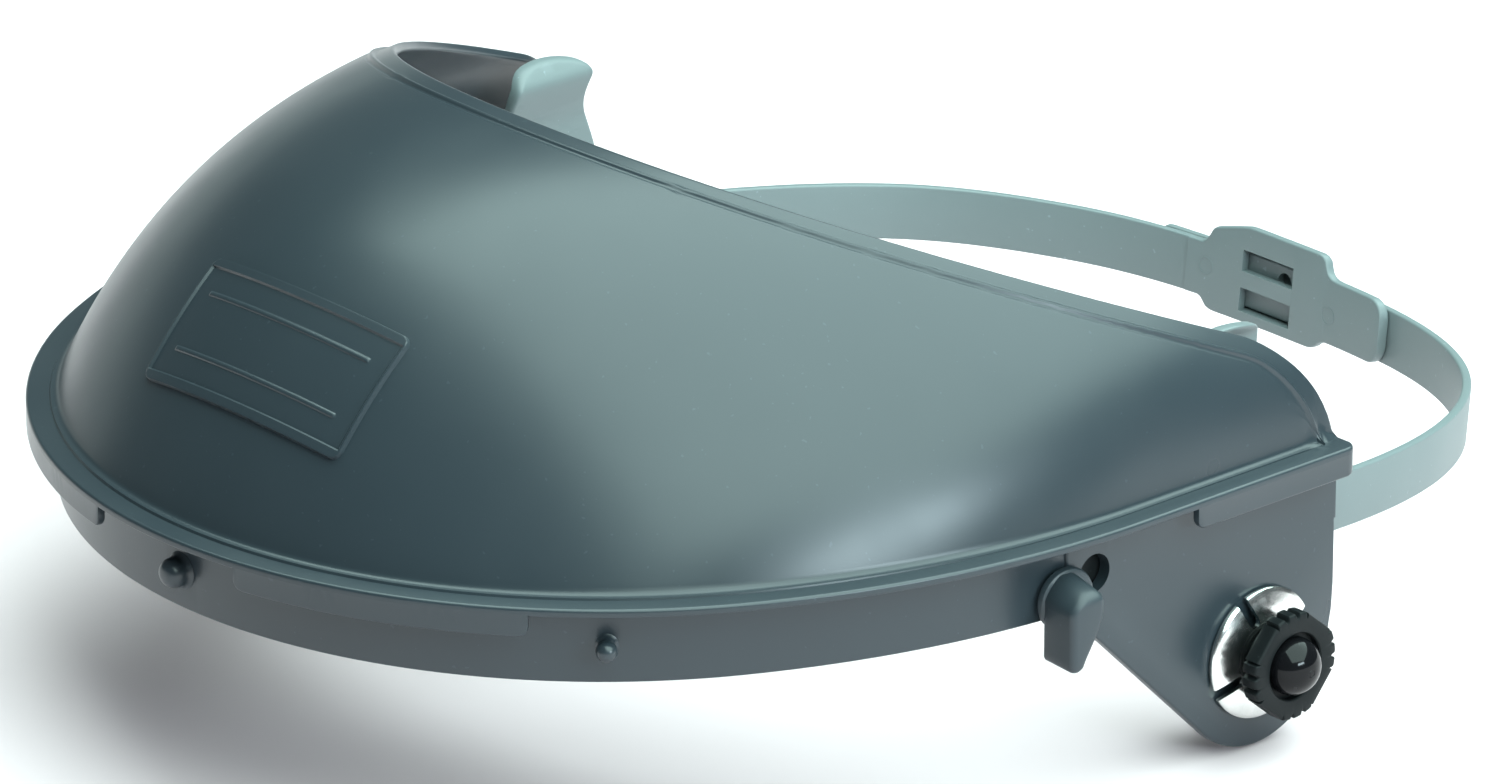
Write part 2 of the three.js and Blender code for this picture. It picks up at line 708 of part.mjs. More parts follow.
function frictionDisc(side) {
  const x = EAR_INNER_X - GAP;
  const bore = SCREW_RADIUS + GAP;
  const ring = turnedX([[bore, x - 1.4], [10, x - 1.4], [10, x], [bore, x], [bore, x - 1.4]], 36);
  const name = side > 0 ? 'friction_disc_left' : 'friction_disc_right';
  return onAxis(piece(name, mirrored(ring, side), blackPlastic));
}

function onAxis(mesh) {
  mesh.position.z = PIVOT_Z;
  return mesh;
}

// ---------- headgear ----------
function templePlate(side) {
  const shape = new THREE.Shape();
  shape.moveTo(-10.5, PIVOT_Z);
  shape.lineTo(-9.5, -8);
  shape.quadraticCurveTo(-6.6, 2, -5.9, 10);
  shape.lineTo(-5.4, PLATE_TOP_Z - 6);
  shape.quadraticCurveTo(-4.8, PLATE_TOP_Z - 1, 0.5, PLATE_TOP_Z - 0.2);
  shape.quadraticCurveTo(5, PLATE_TOP_Z + 0.5, 10, PLATE_TOP_Z - 0.8);
  shape.quadraticCurveTo(14.8, PLATE_TOP_Z - 2, 13.7, PLATE_TOP_Z - 4.8);
  shape.quadraticCurveTo(12.4, PLATE_TOP_Z - 8, 14, 8);
  shape.quadraticCurveTo(18.5, -3, 18.5, -12);
  shape.quadraticCurveTo(18.5, -27, 10.5, PIVOT_Z);
  shape.absarc(0, PIVOT_Z, 10.5, 0, -Math.PI, true);
  const plate = sideExtrude(shape, PLATE_INNER_X, PLATE_INNER_X + PLATE_THICK, 7);
  const boss = rodX(8.5, PLATE_INNER_X + 1, EAR_INNER_X - 2 * GAP - 1.4, 0, PIVOT_Z, 36);
  const lip = new THREE.BoxGeometry(4.2, 13, 1.6);
  lip.rotateY(rad(-32));
  lip.translate(PLATE_INNER_X - 0.6, 4.5, PLATE_TOP_Z - 2.2);
  const stud = strapStudPlace();
  const rivet = rivetPlace();
  const solid = addAll([toSolid(plate), toSolid(boss), toSolid(lip)])
    .subtract(crossHole(PLATE_INNER_X - 4, EAR_X, SCREW_RADIUS + GAP, 0, PIVOT_Z))
    .subtract(crossHole(PLATE_INNER_X - 4, EAR_X, STUD_RADIUS + GAP, stud.y, stud.z))
    .subtract(crossHole(PLATE_INNER_X - 4, EAR_X, RIVET_RADIUS + GAP, rivet.y, rivet.z));
  const name = side > 0 ? 'temple_plate_left' : 'temple_plate_right';
  return piece(name, mirrored(toGeometry(solid), side), gearPlastic);
}

// place in the side view of a point given in the tilted plane of the strap or headband
function fromLoop(y, z, top) {
  const tilt = Math.atan(LOOP_TILT);
  return { y: y * Math.cos(tilt) - z * Math.sin(tilt), z: top + y * Math.sin(tilt) + z * Math.cos(tilt) };
}

function strapStudPlace() {
  return fromLoop(STRAP_STUD_Y, -STRAP_WIDTH / 2, STRAP_Z);
}

function rivetPlace() {
  return fromLoop(RIVET_Y, -BAND_WIDTH / 2, BAND_TOP_Z);
}

// plan line of the rear strap; turn 0 is the middle of the back, + towards the left side
// offset(turn) is how far the line stands outside the strap's own outer face
function strapLine(offset, from, to, steps) {
  const line = [];
  for (let i = 0; i <= steps; i++) {
    const turn = from + (to - from) * i / steps;
    const grow = offset(turn);
    const s = Math.sin(turn);
    const c = Math.cos(turn);
    const x = (STRAP_HALF_WIDTH + grow) * Math.sign(s) * Math.pow(Math.abs(s), 2 / STRAP_POWER);
    const y = STRAP_CENTRE_Y + (STRAP_DEPTH + grow) * Math.pow(Math.max(c, 0), 2 / STRAP_POWER);
    line.push(new THREE.Vector2(x, y));
  }
  return line;
}

function strapPiece(layer, inner, outer, from, to, steps, top, width) {
  const outerLine = strapLine((turn) => layer(turn) + outer, from, to, steps);
  const innerLine = strapLine((turn) => layer(turn) + inner, from, to, steps);
  return toSolid(ribbon(outerLine, innerLine, top - width, width));
}

// the left half lies outermost, and its free tail springs away
function leftLayer(turn) {
  const past = Math.min(Math.max((-turn - TAIL_START) / (TAIL_END - TAIL_START), 0), 1);
  return TAIL_SPRING * past * past;
}

// the right half steps inwards to pass inside the left one at the buckle
function rightLayer(turn) {
  const past = Math.min(Math.max((STEP_END + turn) / (STEP_END - STEP_START), 0), 1);
  return -(STRAP_THICK + GAP) * past * past * (3 - 2 * past);
}

function strapFrontTurn() {
  return Math.acos(Math.pow((2 - STRAP_CENTRE_Y) / STRAP_DEPTH, STRAP_POWER / 2));
}

function strapStudHole(side) {
  return toSolid(rodX(STUD_RADIUS + GAP, side * 80, side * 110, STRAP_STUD_Y, -STRAP_WIDTH / 2, 24));
}

function rearStrapLeft() {
  const from = -TAIL_END;
  const to = strapFrontTurn();
  let solid = strapPiece(leftLayer, -STRAP_THICK, 0, from, to, 54, 0, STRAP_WIDTH);
  solid = solid.subtract(strapStudHole(1));
  for (const x of ADJUST_HOLES) {
    const hole = new THREE.CylinderGeometry(ADJUST_RADIUS, ADJUST_RADIUS, 24, 14);
    hole.translate(x, STRAP_CENTRE_Y + STRAP_DEPTH, ADJUST_Z);
    solid = solid.subtract(toSolid(hole));
  }
  return inLoop(piece('rear_strap_left', toGeometry(solid), gearPlastic), STRAP_Z);
}

// the right half widens into the buckle: a windowed plate, and two keepers round the left half
function rearStrapRight() {
  const part = (inner, outer, from, to, top, bottom) => (
    strapPiece(rightLayer, inner, outer, rad(from), rad(to), 14, top, top - bottom)
  );
  const plateBack = -STRAP_THICK;
  const passage = STRAP_THICK + 2 * GAP;
  const strap = strapPiece(rightLayer, plateBack, 0, -strapFrontTurn(), rad(-5.6), 46, 0, STRAP_WIDTH);
  const plate = part(plateBack, 0, -5.7, 3.2, BUCKLE_TOP, BUCKLE_BOTTOM);
  const neck = part(plateBack, 0, 2.8, 11, NECK_TOP, NECK_BOTTOM);
  const keeper = (from, to) => part(-0.2, passage + KEEPER_THICK, from, to, 2.3, BUCKLE_BOTTOM + 0.3);
  const tunnel = part(0, passage, -7, 5, GAP, -STRAP_WIDTH - GAP);
  const windowHigh = part(plateBack - 2, 0.2, -2.55, 0.55, 1, -3.2);
  const windowLow = part(plateBack - 2, 0.2, -2.55, 0.55, -6.4, -11);
  const shoulder = new THREE.BoxGeometry(20, 30, 4);
  shoulder.translate(-10, 0, 2);
  shoulder.rotateY(-SHOULDER_SLOPE);
  shoulder.translate(-8, STRAP_CENTRE_Y + STRAP_DEPTH, BUCKLE_TOP);
  const keepers = keeper(-5.2, 1.9).subtract(tunnel);
  const solid = addAll([strap, plate, neck, keepers]).subtract(toSolid(shoulder))
    .subtract(windowHigh).subtract(windowLow).subtract(strapStudHole(-1));
  return inLoop(piece('rear_strap_right', toGeometry(solid), gearPlastic), STRAP_Z);
}

function inLoop(mesh, z) {
  mesh.position.z = z;
  mesh.rotation.x = Math.atan(LOOP_TILT);
  return mesh;
}

// plan line of the front headband; turn 0 is the forehead
function bandLine(grow, from, to, steps) {
  const line = [];
  for (let i = 0; i <= steps; i++) {
    const turn = from + (to - from) * i / steps;
    const s = Math.sin(turn);
    const c = Math.cos(turn);
    const x = (BAND_HALF_WIDTH + grow) * Math.sign(s) * Math.pow(Math.abs(s), 0.86);
    const y = (BAND_FRONT_Y - grow) * Math.sign(c) * Math.pow(Math.abs(c), 0.86);
    line.push(new THREE.Vector2(x, y));
  }
  return line;
}

function headband() {
  const reach = rad(94);
  const outer = bandLine(0, -reach, reach, 56);
  const inner = bandLine(-BAND_THICK, -reach, reach, 56);
  let solid = toSolid(ribbon(outer, inner, -BAND_WIDTH, BAND_WIDTH));
  solid = solid.subtract(crossHole(-110, 110, RIVET_RADIUS + GAP, RIVET_Y, -BAND_WIDTH / 2));
  return inLoop(piece('headband', toGeometry(solid), gearPlastic), BAND_TOP_Z);
}

function browCushion() {
  const reach = rad(62);
  const near = -BAND_THICK - GAP;
  const outer = bandLine(near, -reach, reach, 30);
  const inner = bandLine(near - PAD_THICK, -reach, reach, 30);
  const pad = ribbon(outer, inner, -BAND_WIDTH / 2 - PAD_WIDTH / 2, PAD_WIDTH);
  return inLoop(piece('brow_cushion', pad, foam), BAND_TOP_Z);
}

function headbandRivet(side) {
  const head = PLATE_INNER_X + PLATE_THICK + GAP;
  const foot = BAND_HALF_WIDTH - BAND_THICK - GAP - 1;
  const profile = [
    [0, foot], [3.6, foot], [3.6, foot + 0.8], [RIVET_RADIUS, foot + 0.8],
    [RIVET_RADIUS, head], [3.4, head], [2.6, head + 0.9], [0, head + 0.9],
  ];
  const name = side > 0 ? 'headband_rivet_left' : 'headband_rivet_right';
  const mesh = piece(name, mirrored(turnedX(profile, 24), side), steel);
  const at = rivetPlace();
  mesh.position.set(0, at.y, at.z);
  return mesh;
}

function strapStud(side) {
  const foot = PLATE_INNER_X - GAP;
  const strapFace = STRAP_HALF_WIDTH + GAP;
  const profile = [
    [0, foot - 0.8], [3.8, foot - 0.8], [3.8, foot], [STUD_RADIUS, foot],
    [STUD_RADIUS, strapFace], [4, strapFace], [3.2, strapFace + 1.1], [0, strapFace + 1.1],
  ];
  const name = side > 0 ? 'strap_stud_left' : 'strap_stud_right';
  const mesh = piece(name, mirrored(turnedX(profile, 28), side), steel);
  const at = strapStudPlace();
  mesh.position.set(0, at.y, at.z);
  return mesh;
}

// ---------- assembly ----------
const faceShield = new THREE.Group();
faceShield.name = 'face_shield';

const crown = new THREE.Group();
crown.name = 'crown';
crown.add(crownShell());

const headgear = new THREE.Group();
headgear.name = 'headgear';
headgear.add(headband());
headgear.add(browCushion());
headgear.add(rearStrapLeft());
headgear.add(rearStrapRight());

for (const side of [1, -1]) {
  crown.add(turnLatch(side), latchRetainer(side), springWasher(side), tensionNut(side));
  headgear.add(templePlate(side), pivotScrew(side), frictionDisc(side));
  headgear.add(headbandRivet(side), strapStud(side));
}

faceShield.add(crown, headgear);

export default faceShield;
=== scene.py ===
import math

import bmesh
import bpy
import numpy as np
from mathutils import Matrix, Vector
from mathutils.kdtree import KDTree


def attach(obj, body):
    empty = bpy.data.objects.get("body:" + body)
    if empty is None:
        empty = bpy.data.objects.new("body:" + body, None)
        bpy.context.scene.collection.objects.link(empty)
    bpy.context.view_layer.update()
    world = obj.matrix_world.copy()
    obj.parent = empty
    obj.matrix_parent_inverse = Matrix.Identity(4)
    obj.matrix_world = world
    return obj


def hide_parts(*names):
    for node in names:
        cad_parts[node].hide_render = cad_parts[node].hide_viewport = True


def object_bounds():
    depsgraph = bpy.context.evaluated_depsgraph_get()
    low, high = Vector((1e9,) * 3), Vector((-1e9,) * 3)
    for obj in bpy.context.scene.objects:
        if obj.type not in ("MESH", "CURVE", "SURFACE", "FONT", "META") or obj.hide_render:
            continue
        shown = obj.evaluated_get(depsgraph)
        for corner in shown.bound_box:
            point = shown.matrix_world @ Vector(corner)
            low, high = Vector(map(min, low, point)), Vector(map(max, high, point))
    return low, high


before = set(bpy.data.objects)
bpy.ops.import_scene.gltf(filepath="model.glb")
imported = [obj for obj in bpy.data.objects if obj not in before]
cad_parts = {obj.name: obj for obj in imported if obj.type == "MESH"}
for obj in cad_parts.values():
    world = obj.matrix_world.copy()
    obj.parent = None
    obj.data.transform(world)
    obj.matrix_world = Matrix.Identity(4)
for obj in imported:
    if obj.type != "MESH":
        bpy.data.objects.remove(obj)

cad_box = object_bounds()

# Lengths are millimetres until a mesh is made. X = 0 is the symmetry plane, Y = 0 the tilt
# axis, Z = 0 the top of the window flange, -Y the front. Sizes repeat the CAD's.
MM = 0.001
GAP = 0.3

# flange plan line, band and lips
FRONT_RADIUS, FRONT_CENTRE_Y, FRONT_SPAN = 103.6, -59.2, math.radians(62)
HALF_WIDTH, REAR_Y, FLANGE_CORNER = 110.2, 18.7, 2.0
FLANGE_THICK, WALL_INSET, WALL_THICK, BAND_HEIGHT = 1.5, 5.2, 2.4, 15.6
LIP_THICK, LIP_DROP = 1.4, 5.4
FRONT_LIP = (math.radians(10.2), math.radians(41))
REAR_LIP_Y = -20

# dome, and the crease beside its rim
RIM_HALF_WIDTH, RIM_DEPTH, RIM_POWER = 99.7, 119.5, 2.17
RIM_FRONT_Y, RIM_FRONT_Z, RIM_SLOPE = -78.2, 55.5, -0.421
CORNER_RADIUS, BULGE_PLAN, BULGE_RISE = 25, 0.322, 0.876
BORDER_WIDTH, BORDER_STEP, RIDGE_HEIGHT, CREASE_DEPTH = 3.8, 0.5, 0.25, 0.18
PANEL_HALF_WIDTH, PANEL_HALF_HEIGHT, PANEL_CORNER = 26.3, 12.7, 2.2
PANEL_Z, PANEL_LEAN = 27.2, math.radians(45.6)
RULE_V, RULE_MARGIN, BAR_HEIGHT = 5.6, 5.1, 2.15

# ears, studs and latches
PIVOT_Z, EAR_RADIUS, EAR_FRONT_Y, PIVOT_HOLE = -35.5, 17.8, -46.6, 3.4
STUD_Z, SIDE_STUD_ANGLE = -8.5, math.radians(48.4)
LATCH_Y, LATCH_Z, LATCH_RADIUS, LATCH_SEAT, LATCH_FACE = -47.4, -11.8, 5.8, 0.7, 2.4
LEVER_REACH, LEVER_FRONT, LEVER_LOW, LEVER_TOP, LEVER_TOP_SLOPE = 10.2, -5.2, -10.2, 5.3, 0.19
SHAFT_RADIUS, SHAFT_END, SHAFT_HOLE = 1.7, -4.6, 2
RETAINER_SEAT, RETAINER_RADIUS, RETAINER_END = 0.8, 4.4, (7.4, 2.4)
WINDOW_HOLE_Y, WINDOW_HOLE_Z, WINDOW_HOLE_RADIUS = -40, -9.4, 3.6

# tilt axis hardware
WASHER_RADIUS, WASHER_RISE, WASHER_THICK, SLOT_RADIUS, SLOT_END = 12.2, 1.9, 0.9, 1.15, 7.9
NUT_RADIUS, NUT_THICK, NUT_HEIGHT, SCREW_RADIUS, CAP_RADIUS = 10, 3.4, 6.2, 2.6, 5.3
NUT_TURN, NUT_FLAT_HALF, NUT_TEETH, TOOTH_DEPTH = math.radians(50), math.radians(21.5), 3, 0.085
DISC_RADIUS, DISC_THICK = 10, 1.4

# headgear
PLATE_INNER_X, PLATE_THICK, PLATE_TOP_Z, PLATE_END_RADIUS, BOSS_RADIUS = 89.9, 2.2, 20.4, 10.5, 8.5
LOOP_TILT = math.atan(-0.104)
STRAP_Z, STRAP_WIDTH, STRAP_THICK = -11.1, 10.8, 1.6
STRAP_HALF_WIDTH, STRAP_DEPTH, STRAP_CENTRE_Y, STRAP_POWER = 95.7, 137.3, -24.4, 2.8
TAIL_START, TAIL_END, TAIL_SPRING = math.radians(5), math.radians(13), 0.5
STEP_START, STEP_END, KEEPER_THICK = math.radians(24), math.radians(48), 1.4
ADJUST_HOLES, ADJUST_RADIUS, ADJUST_Z = (-0.7, 9, 19), 1.7, -3.1
BUCKLE_TOP, BUCKLE_BOTTOM, NECK_TOP, NECK_BOTTOM, NECK_END = 5.7, -13.1, 1.6, -10.9, 11.0
BUCKLE_EXTRA, KEEPER_TOP, KEEPER_TURNS = 0.2, 2.3, (-5.2, 1.9)
WINDOW_TURNS, WINDOWS = (-2.55, 0.55), ((1, 4.2), (-6.4, 4.6))
BAND_TOP_Z, BAND_WIDTH, BAND_THICK, BAND_POWER = -4.6, 18, 1.8, 0.86
BAND_HALF_WIDTH, BAND_FRONT_Y, PAD_THICK, PAD_WIDTH = 88.7, -94, 6.5, 20
CHANNEL_DEPTH, CHANNEL_WIDTH = 0.75, 1.1
BAND_REACH, PAD_REACH, BAND_ARC_RADIUS = math.radians(94), math.radians(61.5), 90
STRAP_STUD_Y, STUD_RADIUS, RIVET_Y, RIVET_RADIUS = 10, 2, -3, 1.8

SIDE_RADIUS = (HALF_WIDTH - FRONT_RADIUS * math.sin(FRONT_SPAN)) / (1 - math.sin(FRONT_SPAN))
SIDE_CENTRE_X = HALF_WIDTH - SIDE_RADIUS
SIDE_CENTRE_Y = FRONT_CENTRE_Y + (SIDE_RADIUS - FRONT_RADIUS) * math.cos(FRONT_SPAN)
FRONT_ARC = FRONT_RADIUS * FRONT_SPAN
SIDE_ARC = SIDE_RADIUS * (math.pi / 2 - FRONT_SPAN)
HALF_LENGTH = FRONT_ARC + SIDE_ARC + REAR_Y - SIDE_CENTRE_Y
EAR_X = HALF_WIDTH - WALL_INSET
EAR_INNER_X = EAR_X - WALL_THICK
WASHER_X = EAR_X + GAP
NUT_BASE_X = WASHER_X + WASHER_RISE + WASHER_THICK + GAP
NUT_FACE_X = NUT_BASE_X + NUT_HEIGHT


# ---------- mesh helpers ----------
def weave(mesh_bm, grid, close_rows=False, close_columns=False):
    """Quads between the rows of a grid of bmesh vertices."""
    rows, columns = len(grid), len(grid[0])
    for i in range(rows if close_rows else rows - 1):
        for j in range(columns if close_columns else columns - 1):
            a, b = grid[i][j], grid[i][(j + 1) % columns]
            c, d = grid[(i + 1) % rows][(j + 1) % columns], grid[(i + 1) % rows][j]
            corners = []
            for v in (a, b, c, d):
                if v not in corners:
                    corners.append(v)
            if len(corners) > 2:
                mesh_bm.faces.new(corners)


def mesh_from(build):
    """A mesh, in metres, of what build(bm) adds in millimetres; faces point outwards."""
    bm = bmesh.new()
    build(bm)
    bmesh.ops.remove_doubles(bm, verts=bm.verts, dist=1e-4)
    bmesh.ops.dissolve_degenerate(bm, edges=bm.edges, dist=1e-5)
    bmesh.ops.recalc_face_normals(bm, faces=bm.faces)
    if bm.calc_volume(signed=True) < 0:
        bmesh.ops.reverse_faces(bm, faces=bm.faces)
    bmesh.ops.scale(bm, vec=(MM, MM, MM), verts=bm.verts)
    mesh = bpy.data.meshes.new("part")
    bm.to_mesh(mesh)
    bm.free()
    return mesh


def loft(rings, cyclic=False):
    """Closed mesh through rings of equal point counts; the end rings get flat caps."""
    def build(bm):
        grid = [[bm.verts.new(p) for p in ring] for ring in rings]
        weave(bm, grid, close_rows=cyclic, close_columns=True)
        if not cyclic:
            bm.faces.new(grid[0][::-1])
            bm.faces.new(grid[-1])
    return mesh_from(build)


def lathe(profile, segments=96):
    """Turned solid about X: profile is a list of (radius, x), from axis to axis or a closed ring."""
    turns = np.linspace(0, 2 * math.pi, segments, endpoint=False)
    closed = profile[0] == profile[-1]
    if closed:
        profile = profile[:-1]

    def build(bm):
        grid = []
        for radius, x in profile:
            if radius == 0:
                grid.append([bm.verts.new((x, 0, 0))] * segments)
            else:
                grid.append([bm.verts.new((x, radius * math.cos(t), radius * math.sin(t))) for t in turns])
        weave(bm, grid, close_rows=closed, close_columns=True)
    return mesh_from(build)


def rod(radius, x0, x1, segments=40):
    return lathe([(0, x0), (radius, x0), (radius, x1), (0, x1)], segments)


def arc(radius, start, end, count, centre=(0, 0)):
    """Points on a circle from one angle to another, both ends included."""
    turns = np.linspace(start, end, count)
    return [(centre[0] + radius * math.cos(t), centre[1] + radius * math.sin(t)) for t in turns]


def soft_step(value, low, high):
    """0 below low, 1 above high and a smooth rise between them."""
    t = np.clip((value - low) / (high - low), 0, 1)
    return t * t * (3 - 2 * t)


def hump(distance, half_width):
    """Smooth bump of height 1 and the given half width."""
    return np.clip(1 - (distance / half_width) ** 2, 0, 1) ** 1.5


def round_over(d, radius):
    """Drop of a rounded edge of that radius, d away from it."""
    inwards = radius - np.clip(d, 0, radius)
    return np.where(d < radius, radius - np.sqrt(np.maximum(radius ** 2 - inwards ** 2, 0)), 0)


def rounded(points, radii, steps=4):
    """Closed polygon with its corners rounded."""
    points = [np.array(p, float) for p in points]
    if not isinstance(radii, (list, tuple)):
        radii = [radii] * len(points)
    out = []
    for i, p in enumerate(points):
        if radii[i] == 0:
            out.append(p)
            continue
        a = points[i - 1] - p
        b = points[(i + 1) % len(points)] - p
        la, lb = np.linalg.norm(a), np.linalg.norm(b)
        a, b = a / la, b / lb
        half = math.acos(np.clip(a @ b, -1, 1)) / 2
        if half > math.radians(88):
            out.append(p)
            continue
        reach = min(radii[i] / math.tan(half), la * 0.49, lb * 0.49)
        radius = reach * math.tan(half)
        centre = p + (a + b) / np.linalg.norm(a + b) * radius / math.sin(half)
        start, end = p + a * reach - centre, p + b * reach - centre
        sweep = math.pi - 2 * half
        turn = math.copysign(1, start[0] * end[1] - start[1] * end[0])
        for k in range(steps + 1):
            t = turn * sweep * k / steps
            out.append(centre + np.array([start[0] * math.cos(t) - start[1] * math.sin(t),
                                          start[0] * math.sin(t) + start[1] * math.cos(t)]))
    return np.array(out)


def offset_in(outline, amount):
    """Outline moved inwards along its corner normals."""
    before, after = np.roll(outline, 1, 0), np.roll(outline, -1, 0)
    area = 0.5 * np.sum(outline[:, 0] * after[:, 1] - outline[:, 1] * after[:, 0])
    e0, e1 = outline - before, after - outline
    n0 = np.c_[e0[:, 1], -e0[:, 0]] / np.maximum(np.linalg.norm(e0, axis=1), 1e-9)[:, None]
    n1 = np.c_[e1[:, 1], -e1[:, 0]] / np.maximum(np.linalg.norm(e1, axis=1), 1e-9)[:, None]
    n = n0 + n1
    n /= np.maximum(np.linalg.norm(n, axis=1), 1e-9)[:, None]
    lean = np.clip(np.sum(n * n0, axis=1), 0.5, 1)
    return outline - math.copysign(1, area) * n * (amount / lean)[:, None]


def side_prism(outline, x0, x1, edge=0.4, steps=3):
    """Solid with a (Y, Z) outline between two X stations, its long edges rounded."""
    rings = []
    for k in range(steps + 1):
        t = math.pi / 2 * k / steps
        line = offset_in(outline, edge * (1 - math.sin(t)))
        rings.append([(x0 + edge * (1 - math.cos(t)), y, z) for y, z in line])
    for k in range(steps + 1):
        t = math.pi / 2 * (1 - k / steps)
        line = offset_in(outline, edge * (1 - math.sin(t)))
        rings.append([(x1 - edge * (1 - math.cos(t)), y, z) for y, z in line])
    return loft(rings)


def sweep(section, stations):
    """Closed section of (inset, z) points carried along the flange line; section(distance) -> points."""
    rings = []
    for d in stations:
        rings.append([plan_point(d, inset)[:2] + (z,) for inset, z in section(d)])
    return loft(rings)


def combine(base, others, operation="UNION"):
    """Boolean of meshes, returned as one new mesh."""
    body = bpy.data.objects.new("body", base)
    bpy.context.scene.collection.objects.link(body)
    tools = []
    for mesh in others:
        tool = bpy.data.objects.new("tool", mesh)
        bpy.context.scene.collection.objects.link(tool)
        tools.append(tool)
        change = body.modifiers.new("boolean", "BOOLEAN")
        change.operation = operation
        change.solver = "MANIFOLD"
        change.object = tool
    graph = bpy.context.evaluated_depsgraph_get()
    result = bpy.data.meshes.new_from_object(body.evaluated_get(graph))
    for o in [body, *tools]:
        bpy.data.objects.remove(o)
    return result


def place(mesh, x=0, y=0, z=0, turn_x=0, turn_z=0):
    """Turns a mesh about X, then about Z, then moves it by millimetres."""
    co = np.zeros(len(mesh.vertices) * 3)
    mesh.vertices.foreach_get("co", co)
    co = co.reshape(-1, 3)
    c, s = math.cos(turn_x), math.sin(turn_x)
    co = co @ np.array([[1, 0, 0], [0, c, s], [0, -s, c]])
    c, s = math.cos(turn_z), math.sin(turn_z)
    co = co @ np.array([[c, s, 0], [-s, c, 0], [0, 0, 1]])
    co += np.array([x, y, z]) * MM
    mesh.vertices.foreach_set("co", co.ravel())
    mesh.update()
    return mesh


def mirrored(mesh, side):
    """The mesh itself for the left, a copy reflected through X = 0 for the right."""
    if side > 0:
        return mesh
    bm = bmesh.new()
    bm.from_mesh(mesh)
    bmesh.ops.scale(bm, vec=(-1, 1, 1), verts=bm.verts)
    bmesh.ops.reverse_faces(bm, faces=bm.faces)
    copy = bpy.data.meshes.new("part")
    bm.to_mesh(copy)
    bm.free()
    return copy


def finish_piece(name, mesh, material, body, nodes, sharp=32):
    """Object of a finished mesh in place of CAD nodes, smooth but for edges sharper than an angle."""
    mesh.name = name
    mesh.materials.clear()
    mesh.materials.append(material)
    mesh.shade_smooth()
    mesh.set_sharp_from_angle(angle=math.radians(sharp))
    made = bpy.data.objects.new(name, mesh)
    bpy.context.scene.collection.objects.link(made)
    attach(made, body)
    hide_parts(*nodes)
    return made


# ---------- flange plan line ----------
def plan_point(distance, inset):
    """(X, Y, direction) at a distance along the flange's edge from its front middle, drawn in by inset."""
    side = -1 if distance < 0 else 1
    d = abs(distance)
    if d < FRONT_ARC:
        angle = d / FRONT_RADIUS
        x = (FRONT_RADIUS - inset) * math.sin(angle)
        y = FRONT_CENTRE_Y - (FRONT_RADIUS - inset) * math.cos(angle)
    elif d < FRONT_ARC + SIDE_ARC:
        angle = FRONT_SPAN + (d - FRONT_ARC) / SIDE_RADIUS
        x = SIDE_CENTRE_X + (SIDE_RADIUS - inset) * math.sin(angle)
        y = SIDE_CENTRE_Y - (SIDE_RADIUS - inset) * math.cos(angle)
    else:
        angle = math.pi / 2
        x = HALF_WIDTH - inset
        y = SIDE_CENTRE_Y + d - FRONT_ARC - SIDE_ARC
    return side * x, y, side * angle


def stations(start, end, step, fine=()):
    """Distances from start to end about step apart, with extra ones close to both ends."""
    count = max(2, round((end - start) / step))
    line = set(np.linspace(start, end, count + 1).round(5))
    line |= {round(start + f, 5) for f in fine} | {round(end - f, 5) for f in fine}
    return sorted(line)


# ---------- dome ----------
RIM_END_TURN = math.acos(((RIM_FRONT_Y + RIM_DEPTH - REAR_Y) / RIM_DEPTH) ** (RIM_POWER / 2))
FOOT_START = RIM_END_TURN * FRONT_RADIUS


def rim_point(share):
    turn = abs(share) * RIM_END_TURN
    x = RIM_HALF_WIDTH * math.sin(turn) ** (2 / RIM_POWER) * (1 if share >= 0 else -1)
    y = RIM_FRONT_Y + RIM_DEPTH * (1 - math.cos(turn) ** (2 / RIM_POWER))
    return np.array([x, y, RIM_FRONT_Z + RIM_SLOPE * (y - RIM_FRONT_Y)])


def foot_distance(share):
    q = abs(share)
    return math.copysign(FOOT_START * q + (HALF_LENGTH - FOOT_START) * q ** 4, share)


def share_at(distance):
    low, high = 0.0, 1.0
    for _ in range(44):
        mid = (low + high) / 2
        if foot_distance(mid) < abs(distance):
            low = mid
        else:
            high = mid
    return math.copysign(high, distance)


def dome_raw(share, rise):
    """Points of the outer dome for one share and an array of rises."""
    rise = np.atleast_1d(rise)[:, None]
    fx, fy, _ = plan_point(foot_distance(share), WALL_INSET)
    foot = np.array([fx, fy, -0.5])
    rim = rim_point(share)
    control = foot + (rim - foot) * BULGE_PLAN
    control[2] = rim[2] * BULGE_RISE
    return (1 - rise) ** 2 * foot + 2 * rise * (1 - rise) * control + rise ** 2 * rim


def dome_normal(share, rise):
    e = 1e-3
    low, high = max(share - e, -1), min(share + e, 1)
    along = dome_raw(high, rise) - dome_raw(low, rise)
    up = dome_raw(share, np.minimum(rise + e, 1)) - dome_raw(share, np.maximum(rise - e, 0))
    n = np.cross(along, up)
    return n / np.linalg.norm(n, axis=1)[:, None]


TILT = math.hypot(1, RIM_SLOPE)
CORNER_Y = REAR_Y - CORNER_RADIUS
CORNER_Z = RIM_FRONT_Z + RIM_SLOPE * (CORNER_Y - RIM_FRONT_Y) - CORNER_RADIUS * TILT


def outside(p):
    """Side-view distance outside the rim line, rounded rear corner and rear edge."""
    y, z = p[:, 1] - CORNER_Y, p[:, 2] - CORNER_Z
    over = np.maximum((-RIM_SLOPE * y + z) / TILT, y)
    corner = (z > 0) & (y > -RIM_SLOPE * z)
    return np.where(corner, np.hypot(y, z), over) - CORNER_RADIUS


def dome_top(share):
    rises = np.linspace(0, 1, 2001)
    inside = outside(dome_raw(share, rises)) <= 0
    return max(rises[-1] if inside.all() else rises[max(np.argmin(inside) - 1, 1)], 0.04)


